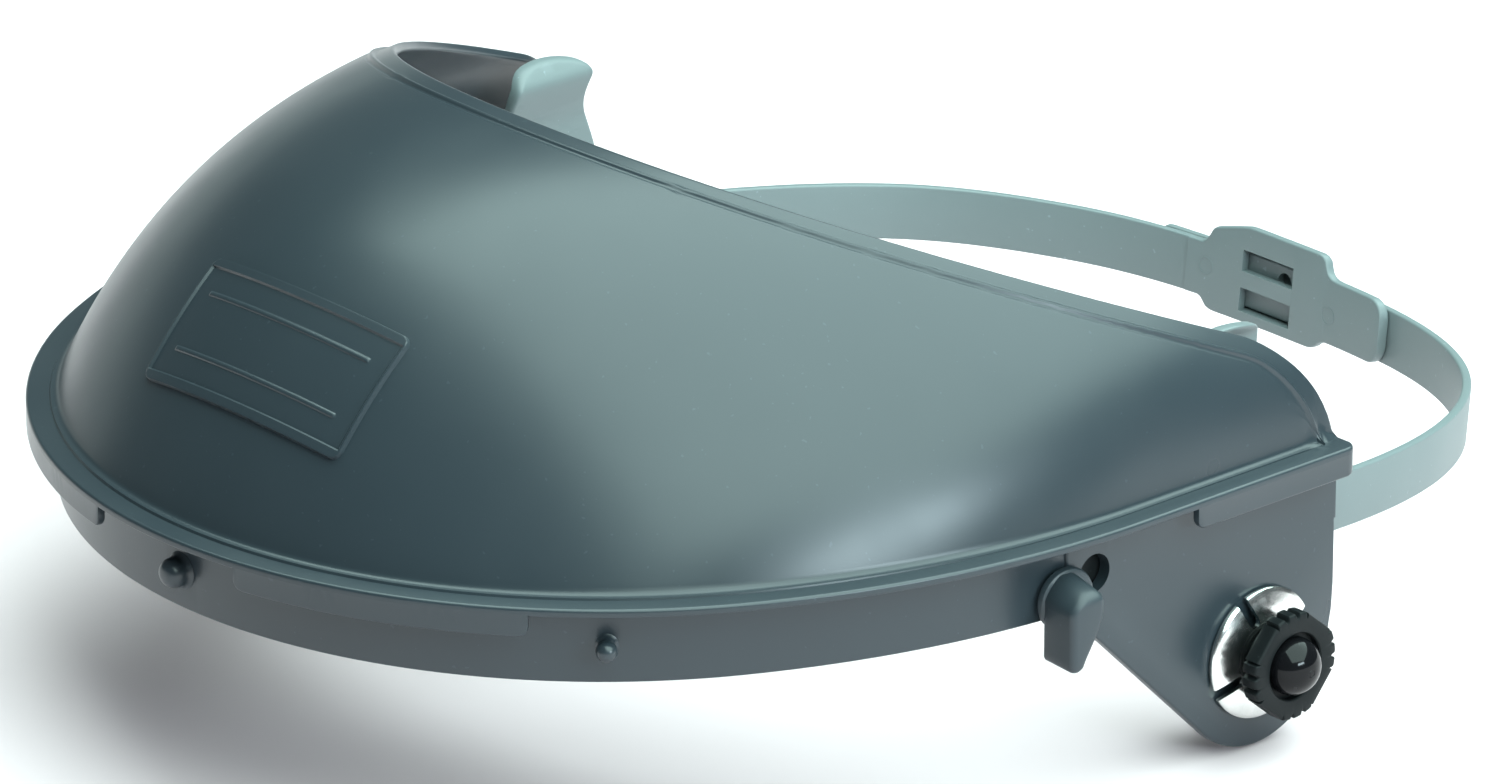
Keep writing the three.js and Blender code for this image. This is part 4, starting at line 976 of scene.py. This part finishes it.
def rear_strap_right():
    """Far half: strap, buckle plate with two windows, and the sleeve that the left half slides through."""
    def strip(inner, outer, turns, top, width, **shape):
        return strap_solid(right_layer, inner, outer, *map(math.radians, turns), top, width, **shape)
    back = -STRAP_THICK
    passage = STRAP_THICK + 2 * GAP
    strap = strip(back, 0, (-math.degrees(front_turn()), -8.2), 0, STRAP_WIDTH)
    deep = KEEPER_TOP - BUCKLE_BOTTOM - 0.3
    keeper = strip(-0.2, passage + KEEPER_THICK, KEEPER_TURNS, KEEPER_TOP, deep, edge=0.6, step=1)
    tunnel = strip(0, passage, (-7, 5), GAP, STRAP_WIDTH + 2 * GAP, edge=0.05)
    marks = [ejector_mark(math.radians(turn), z) for turn, z in ((-6.3, -4.6), (3.9, -5.4))]
    solid = combine(strap, [buckle_plate(), combine(keeper, [tunnel], "DIFFERENCE"), *marks])
    windows = [strip(back - 2, 0.2, WINDOW_TURNS, top, deep, edge=0.05) for top, deep in WINDOWS]
    return combine(solid, windows + [strap_hole(-1)], "DIFFERENCE")


def band_point(turn, grow, z):
    """Point of the front band: turn 0 is the forehead, grow is outwards."""
    s, c = math.sin(turn), math.cos(turn)
    x = (BAND_HALF_WIDTH + grow) * math.copysign(abs(s) ** BAND_POWER, s)
    y = (BAND_FRONT_Y - grow) * math.copysign(abs(c) ** BAND_POWER, c)
    y, z = from_loop(y, z, BAND_TOP_Z)
    return x, y, z


def headband():
    outline = rounded([(0, 0), (0, -BAND_WIDTH), (-BAND_THICK, -BAND_WIDTH), (-BAND_THICK, 0)], 0.55, 4)
    rings = []
    for turn in np.linspace(-BAND_REACH, BAND_REACH, 170):
        pinch = float(round_over((BAND_REACH - abs(turn)) * BAND_ARC_RADIUS, 6))
        ring = []
        for off, z in outline:
            depth = z + BAND_WIDTH / 2
            z = -BAND_WIDTH / 2 + depth * (1 - pinch / (BAND_WIDTH / 2 + 0.5))
            ring.append(band_point(turn, off, z))
        rings.append(ring)
    rivet = from_loop(RIVET_Y, -BAND_WIDTH / 2, BAND_TOP_Z)
    cuts = [bore(RIVET_RADIUS + GAP, 80, 100, *rivet, side) for side in (1, -1)]
    return combine(loft(rings), cuts, "DIFFERENCE")


def cushion_start():
    """Slack shape of the brow cushion: a flat oval section round the forehead."""
    middle = -BAND_THICK - GAP - PAD_THICK / 2
    rings = []
    for turn in np.linspace(-PAD_REACH, PAD_REACH, 132):
        near = (PAD_REACH - abs(turn)) * BAND_ARC_RADIUS
        size = max(1 - float(round_over(near / 6.0, 1.0)), 0.12)
        ring = []
        for t in np.linspace(0, 2 * math.pi, 40, endpoint=False):
            c, s = math.cos(t), math.sin(t)
            off = middle + math.copysign(abs(c) ** 0.8, c) * (PAD_THICK / 2 - 0.75) * (0.35 + 0.65 * size)
            z = -BAND_WIDTH / 2 + math.copysign(abs(s) ** 0.55, s) * (PAD_WIDTH / 2 - 0.7) * size
            ring.append(band_point(turn, off, z))
        rings.append(ring)
    return loft(rings)


def swell(obj, pressure, limit):
    """Blows a closed mesh up as cloth and keeps the result, moving no point further than limit."""
    before = np.array([v.co[:] for v in obj.data.vertices])
    cloth = obj.modifiers.new("cloth", "CLOTH")
    cloth.settings.use_pressure = True
    cloth.settings.uniform_pressure_force = pressure
    cloth.settings.effector_weights.gravity = 0
    cloth.settings.quality = 6
    cloth.settings.tension_stiffness = 12
    cloth.settings.bending_stiffness = 0.6
    cloth.point_cache.frame_start, cloth.point_cache.frame_end = 1, 20
    scene = bpy.context.scene
    for number in range(1, 21):
        scene.frame_set(number)
    graph = bpy.context.evaluated_depsgraph_get()
    after = np.array([v.co[:] for v in obj.evaluated_get(graph).data.vertices])
    obj.modifiers.remove(cloth)
    scene.frame_set(1)
    move = after - before
    far = np.linalg.norm(move, axis=1)[:, None]
    move *= np.minimum(1, limit / np.maximum(far, 1e-9))
    obj.data.vertices.foreach_set("co", (before + move).ravel())
    obj.data.update()


def brow_cushion(material):
    """Swollen towelling pad with sewn channels pressed into its inner face."""
    start = cushion_start()
    made = finish_piece("brow_cushion_terry", start, material, "headgear", ["brow_cushion"], 180)
    swell(made, 4, 0.0008)
    channels = np.linspace(-0.9, 0.9, 11)
    for v in made.data.vertices:
        x, y, z = v.co.x / MM, v.co.y / MM, v.co.z / MM
        turn = math.atan2(x / BAND_HALF_WIDTH, y / BAND_FRONT_Y)
        near = min(abs(turn - c) for c in channels) * 88
        along = Vector((math.sin(turn), -math.cos(turn), 0))
        level = (z - BAND_TOP_Z - y * math.sin(LOOP_TILT)) / BAND_WIDTH + 0.5
        middle = max(1 - abs(level) * 1.9, 0) ** 0.5
        if v.normal.dot(along) < -0.2:
            v.co += along * MM * CHANNEL_DEPTH * math.exp(-(near / CHANNEL_WIDTH) ** 2) * middle
    smooth = made.modifiers.new("subdivision", "SUBSURF")
    smooth.levels = smooth.render_levels = 1
    return made


def rivet(face_out, foot, shank, head):
    """Domed rivet: foot disc inside, shank, domed head outside."""
    profile = [(0, foot), (3.3, foot), (3.6, foot + 0.25), (3.6, foot + 0.8)]
    profile += [(shank, foot + 0.8), (shank, face_out), (head, face_out)]
    for k in range(1, 9):
        t = math.pi / 2 * k / 8
        profile.append((head * math.cos(t) if k < 8 else 0, face_out + 1.0 * math.sin(t)))
    return lathe(profile, 56)


# ---------- materials ----------
def new_material(name, colour, roughness, metallic=0.0):
    material = bpy.data.materials.new(name)
    material.use_nodes = True
    shader = material.node_tree.nodes["Principled BSDF"]
    shader.inputs["Base Color"].default_value = (*colour, 1)
    shader.inputs["Roughness"].default_value = roughness
    shader.inputs["Metallic"].default_value = metallic
    return material, shader


class Nodes:
    """Small helper for one material's node tree, on object coordinates."""

    def __init__(self, material):
        self.tree = material.node_tree
        self.place = self.add("ShaderNodeTexCoord").outputs["Object"]

    def add(self, kind, **settings):
        node = self.tree.nodes.new(kind)
        for key, value in settings.items():
            setattr(node, key, value)
        return node

    def link(self, out, into):
        self.tree.links.new(out, into)

    def stretched(self, scale):
        mapping = self.add("ShaderNodeMapping")
        mapping.inputs["Scale"].default_value = scale
        self.link(self.place, mapping.inputs["Vector"])
        return mapping.outputs["Vector"]

    def noise(self, scale, detail=2.0, rough=0.5, vector=None, distortion=0.0):
        node = self.add("ShaderNodeTexNoise")
        node.inputs["Scale"].default_value = scale
        node.inputs["Detail"].default_value = detail
        node.inputs["Roughness"].default_value = rough
        node.inputs["Distortion"].default_value = distortion
        self.link(vector or self.place, node.inputs["Vector"])
        return node.outputs["Fac"]

    def fit(self, value, low, high, to_low=0.0, to_high=1.0):
        node = self.add("ShaderNodeMapRange")
        for socket, number in zip(("From Min", "From Max", "To Min", "To Max"), (low, high, to_low, to_high)):
            node.inputs[socket].default_value = number
        self.link(value, node.inputs["Value"])
        return node.outputs["Result"]

    def sum(self, a, b, operation="ADD"):
        node = self.add("ShaderNodeMath", operation=operation)
        for socket, value in zip(node.inputs, (a, b)):
            if isinstance(value, (int, float)):
                socket.default_value = value
            else:
                self.link(value, socket)
        return node.outputs[0]

    def mix(self, factor, a, b):
        node = self.add("ShaderNodeMix", data_type="RGBA")
        self.link(factor, node.inputs["Factor"])
        for socket, value in zip((node.inputs[6], node.inputs[7]), (a, b)):
            if isinstance(value, tuple):
                socket.default_value = (*value, 1)
            else:
                self.link(value, socket)
        return node.outputs[2]

    def bump(self, layers, shader):
        """layers: (height, distance in metres, strength), fine last."""
        normal = None
        for height, distance, strength in layers:
            node = self.add("ShaderNodeBump")
            node.inputs["Distance"].default_value = distance
            node.inputs["Strength"].default_value = strength
            self.link(height, node.inputs["Height"])
            if normal:
                self.link(normal, node.inputs["Normal"])
            normal = node.outputs["Normal"]
        self.link(normal, shader.inputs["Normal"])

    # Mask of convex edges, used both for rubbed wear and for a painted edge highlight.
    def worn_and_highlit_edges(self):
        return self.fit(self.add("ShaderNodeNewGeometry").outputs["Pointiness"], 0.52, 0.6)


def moulded_plastic(name, colour, roughness, grain, mottling=0.06, wear_and_highlight=0.15, gloss=0.5):
    """Injection moulded plastic: faint flow clouds, fine moulded grain, dust specks, and convex edges
    lightened partly as rubbed wear and partly as a painted highlight.
    """
    material, shader = new_material(name, colour, roughness)
    n = Nodes(material)
    dark = tuple(c * (1 - mottling) for c in colour)
    light = tuple(min(c * (1 + mottling), 1) for c in colour)
    flow = n.noise(14, 3, 0.55, n.stretched((1, 2.2, 1)), 0.6)
    base = n.mix(n.fit(flow, 0.1, 0.9), dark, light)
    speck = n.fit(n.noise(900, 1, 0.5), 0.74, 0.78)
    base = n.mix(n.sum(speck, 0.35, "MULTIPLY"), base, tuple(min(c * 1.9 + 0.02, 1) for c in colour))
    # Convex edges painted lighter through pointiness: partly rubbed wear, partly a painted highlight along
    # edges and ridges.
    rubbed_and_highlit = n.sum(n.worn_and_highlit_edges(), n.fit(n.noise(60, 1), 0.3, 0.75), "MULTIPLY")
    rubbed_and_highlit = n.sum(rubbed_and_highlit, wear_and_highlight, "MULTIPLY")
    base = n.mix(rubbed_and_highlit, base, tuple(min(c * 1.7 + 0.015, 1) for c in colour))
    n.link(base, shader.inputs["Base Color"])
    rough = n.fit(n.noise(45, 2, 0.5), 0.0, 1.0, roughness - 0.06, roughness + 0.07)
    n.link(rough, shader.inputs["Roughness"])
    fine = n.noise(2600, 2, 0.6)
    peel = n.noise(120, 2, 0.5)
    n.bump([(peel, 0.00006, 0.25 * grain), (fine, 0.00002, 0.5 * grain)], shader)
    shader.inputs["Specular IOR Level"].default_value = gloss
    return material


def plated_metal(name, colour, roughness):
    """Bright zinc plating: cloudy brightness, fine rolling marks, small dull spots."""
    material, shader = new_material(name, colour, roughness, 1.0)
    n = Nodes(material)
    cloud = n.noise(220, 4, 0.6)
    base = n.mix(n.fit(cloud, 0.35, 0.68), tuple(c * 0.86 for c in colour), colour)
    tint = n.fit(n.noise(90, 2, 0.5), 0.5, 0.72, 0.0, 0.16)
    base = n.mix(tint, base, (0.66, 0.63, 0.52))
    n.link(base, shader.inputs["Base Color"])
    rough = n.fit(n.noise(420, 5, 0.7), 0.3, 0.75, roughness - 0.05, roughness + 0.12)
    n.link(rough, shader.inputs["Roughness"])
    lines = n.noise(1500, 3, 0.6, n.stretched((1, 0.05, 1)))
    pits = n.fit(n.noise(1300, 2, 0.6), 0.6, 0.72)
    n.bump([(lines, 0.00002, 0.08), (pits, 0.00003, 0.16)], shader)
    shader.inputs["Anisotropic"].default_value = 0.35
    return material


def terry_cloth(name, colour):
    """Looped towelling: small loops painted lighter on top and darker between them as painted shade, random
    clumps and a soft sheen.
    """
    material, shader = new_material(name, colour, 0.95)
    n = Nodes(material)
    loops = n.add("ShaderNodeTexVoronoi", feature="SMOOTH_F1")
    loops.inputs["Scale"].default_value = 900
    loops.inputs["Smoothness"].default_value = 0.5
    n.link(n.place, loops.inputs["Vector"])
    height = loops.outputs["Distance"]
    clumps = n.noise(160, 3, 0.6)
    # Painted shade: base colour darkened in the gaps between loops and lightened on their tops, times a
    # random clump tone.
    painted_loop_shade_and_clumps = n.sum(n.fit(height, 0.1, 0.75), n.fit(clumps, 0.3, 0.7), "MULTIPLY")
    base = n.mix(painted_loop_shade_and_clumps, tuple(c * 1.5 for c in colour), tuple(c * 0.45 for c in colour))
    n.link(base, shader.inputs["Base Color"])
    n.bump([(clumps, 0.0007, 0.5), (n.fit(height, 0, 1, 1, 0), 0.0008, 0.9)], shader)
    shader.inputs["Sheen Weight"].default_value = 0.45
    shader.inputs["Sheen Roughness"].default_value = 0.5
    shader.inputs["Specular IOR Level"].default_value = 0.2
    return material


shell_look = moulded_plastic("shell_plastic", (0.023, 0.033, 0.041), 0.30, 0.35, wear_and_highlight=0.2)
latch_look = moulded_plastic("latch_plastic", (0.024, 0.034, 0.042), 0.40, 0.8, wear_and_highlight=0.3)
gear_look = moulded_plastic("gear_plastic", (0.142, 0.176, 0.183), 0.46, 0.8, mottling=0.035)
black_look = moulded_plastic("black_plastic", (0.0085, 0.0105, 0.0115), 0.42, 1.0, 0.12, 0.12, gloss=0.12)
gloss_look = moulded_plastic("gloss_black", (0.005, 0.005, 0.006), 0.09, 0.1, 0.1, 0.05, gloss=0.2)
zinc_look = plated_metal("zinc_plate", (0.86, 0.87, 0.85), 0.17)
steel_look = plated_metal("rivet_steel", (0.58, 0.59, 0.6), 0.3)
terry_look = terry_cloth("terry", (0.045, 0.05, 0.055))


# ---------- pieces ----------
def add_pairs():
    """Both copies of every piece that comes in a left and a right one."""
    latch, washer, nut = turn_latch(), spring_washer(), tension_nut()
    screw, plate, retainer = pivot_screw(), temple_plate(), latch_retainer()
    disc = ring_mesh(SCREW_RADIUS + GAP, DISC_RADIUS, EAR_INNER_X - GAP - DISC_THICK, EAR_INNER_X - GAP)
    band_foot = BAND_HALF_WIDTH - BAND_THICK - GAP - 1
    band_rivet = rivet(PLATE_INNER_X + PLATE_THICK + GAP, band_foot, RIVET_RADIUS, 3.4)
    strap_rivet = rivet(STRAP_HALF_WIDTH + GAP, PLATE_INNER_X - GAP - 0.8, STUD_RADIUS, 4)
    rivet_y, rivet_z = from_loop(RIVET_Y, -BAND_WIDTH / 2, BAND_TOP_Z)
    stud_y, stud_z = from_loop(STRAP_STUD_Y, -STRAP_WIDTH / 2, STRAP_Z)
    for side, word in ((1, "left"), (-1, "right")):
        lx, ly, turn = latch_place(side)
        at_latch, at_pivot = (lx, ly, LATCH_Z, 0, turn), (0, 0, PIVOT_Z)
        for name, mesh, look, slot, body, node, at in (
                ("thumb_latch", latch, latch_look, "shell", f"latch_{word}", "turn_latch", at_latch),
                ("latch_clip", retainer, black_look, "black_plastic", "crown", "latch_retainer", at_latch),
                ("slotted_washer", washer, zinc_look, "zinc_plate", "crown", "spring_washer", at_pivot),
                ("grip_nut", nut, black_look, "black_plastic", f"nut_{word}", "tension_nut", at_pivot),
                ("domed_screw", screw, gloss_look, "gloss_black", "headgear", "pivot_screw", at_pivot),
                ("thrust_disc", disc, black_look, "black_plastic", "headgear", "friction_disc", at_pivot),
                ("side_plate", plate, gear_look, "headgear_plastic", "headgear", "temple_plate", ()),
                ("band_rivet", band_rivet, steel_look, "rivet_steel", "headgear", "headband_rivet",
                 (0, rivet_y, rivet_z)),
                ("strap_rivet", strap_rivet, steel_look, "rivet_steel", "headgear", "strap_stud",
                 (0, stud_y, stud_z))):
            made = place(mirrored(mesh.copy(), side), *at)
            finish_piece(f"{name}_{word}", made, look, body, [f"{node}_{word}"])


finish_piece("crown_moulding", crown_shell(), shell_look, "crown", ["crown_shell"], 30)
add_pairs()
for name, mesh, body, node in (
        ("strap_half_left", rear_strap_left(), "rear_strap", "rear_strap_left"),
        ("strap_half_right", rear_strap_right(), "rear_strap", "rear_strap_right"),
        ("brow_band", headband(), "headgear", "headband")):
    finish_piece(name, mesh, gear_look, body, [node])
brow_cushion(terry_look)

# ---------- floor, light and camera ----------
FLOOR_HALF, FLOOR_DROP = 6.0, 0.0005
VIEW_TURN, VIEW_RISE, VIEW_DISTANCE = math.radians(48), math.radians(22), 2.0
AIM_MIDDLE, AIM_RIGHT, AIM_DOWN = (0.75, -44.2, 0), 13.39, 5.36
SENSOR_WIDTH, LENS = 36, 268.8


def pale_floor():
    mesh = bpy.data.meshes.new("floor")
    h = FLOOR_HALF
    mesh.from_pydata([(-h, -h, 0), (h, -h, 0), (h, h, 0), (-h, h, 0)], [], [(0, 1, 2, 3)])
    floor = bpy.data.objects.new("floor", mesh)
    floor.location.z = cad_box[0].z - FLOOR_DROP
    bpy.context.scene.collection.objects.link(floor)
    look, shader = new_material("floor_pale", (0.78, 0.64, 0.67), 0.9)
    shader.inputs["Specular IOR Level"].default_value = 0.1
    mesh.materials.append(look)
    return floor


def area_light(name, place, aim, size, watts, colour=(1, 1, 1)):
    light = bpy.data.lights.new(name, "AREA")
    light.shape = "RECTANGLE"
    light.size, light.size_y = size
    light.energy = watts
    light.color = colour
    holder = bpy.data.objects.new(name, light)
    holder.location = place
    holder.rotation_euler = (Vector(aim) - Vector(place)).to_track_quat("-Z", "Y").to_euler()
    bpy.context.scene.collection.objects.link(holder)
    return holder


def studio():
    """Broad light overhead, weaker ones behind and low at the side, and a dim sky."""
    middle = (cad_box[0] + cad_box[1]) / 2
    key = area_light("key_overhead", (0.73, 0.22, 1.05), (0.73, 0.22, 0), (2.9, 1.9), 92, (0.76, 1.0, 0.95))
    key.rotation_euler = (0, 0, math.radians(-22))
    area_light("back_wall", (-1.5, 0.55, 0.05), middle, (2.4, 0.45), 2.4, (0.84, 1.0, 0.96))
    area_light("low_side", (1.25, 0.0, 0.36), middle, (0.5, 0.14), 6.5, (0.8, 1.0, 1.06))
    world = bpy.data.worlds.new("studio")
    bpy.context.scene.world = world
    world.use_nodes = True
    sky = world.node_tree.nodes["Background"].inputs
    sky["Color"].default_value = (0.85, 0.95, 1.0, 1)
    sky["Strength"].default_value = 0.12
    bpy.context.scene.view_settings.view_transform = "Standard"


def long_lens_camera():
    """Camera in front, to the object's left and above, looking down with a long lens."""
    level = Vector((math.sin(VIEW_TURN), -math.cos(VIEW_TURN), 0))
    back = level * math.cos(VIEW_RISE) + Vector((0, 0, math.sin(VIEW_RISE)))
    right = Vector((math.cos(VIEW_TURN), math.sin(VIEW_TURN), 0))
    up = back.cross(right)
    aim = Vector(AIM_MIDDLE) * MM + right * AIM_RIGHT * MM - up * AIM_DOWN * MM
    data = bpy.data.cameras.new("camera")
    data.sensor_width = SENSOR_WIDTH
    data.lens = LENS
    camera = bpy.data.objects.new("camera", data)
    camera.location = aim + back * VIEW_DISTANCE
    camera.rotation_euler = back.to_track_quat("Z", "Y").to_euler()
    bpy.context.scene.collection.objects.link(camera)
    bpy.context.scene.camera = camera


floor = pale_floor()
studio()
long_lens_camera()
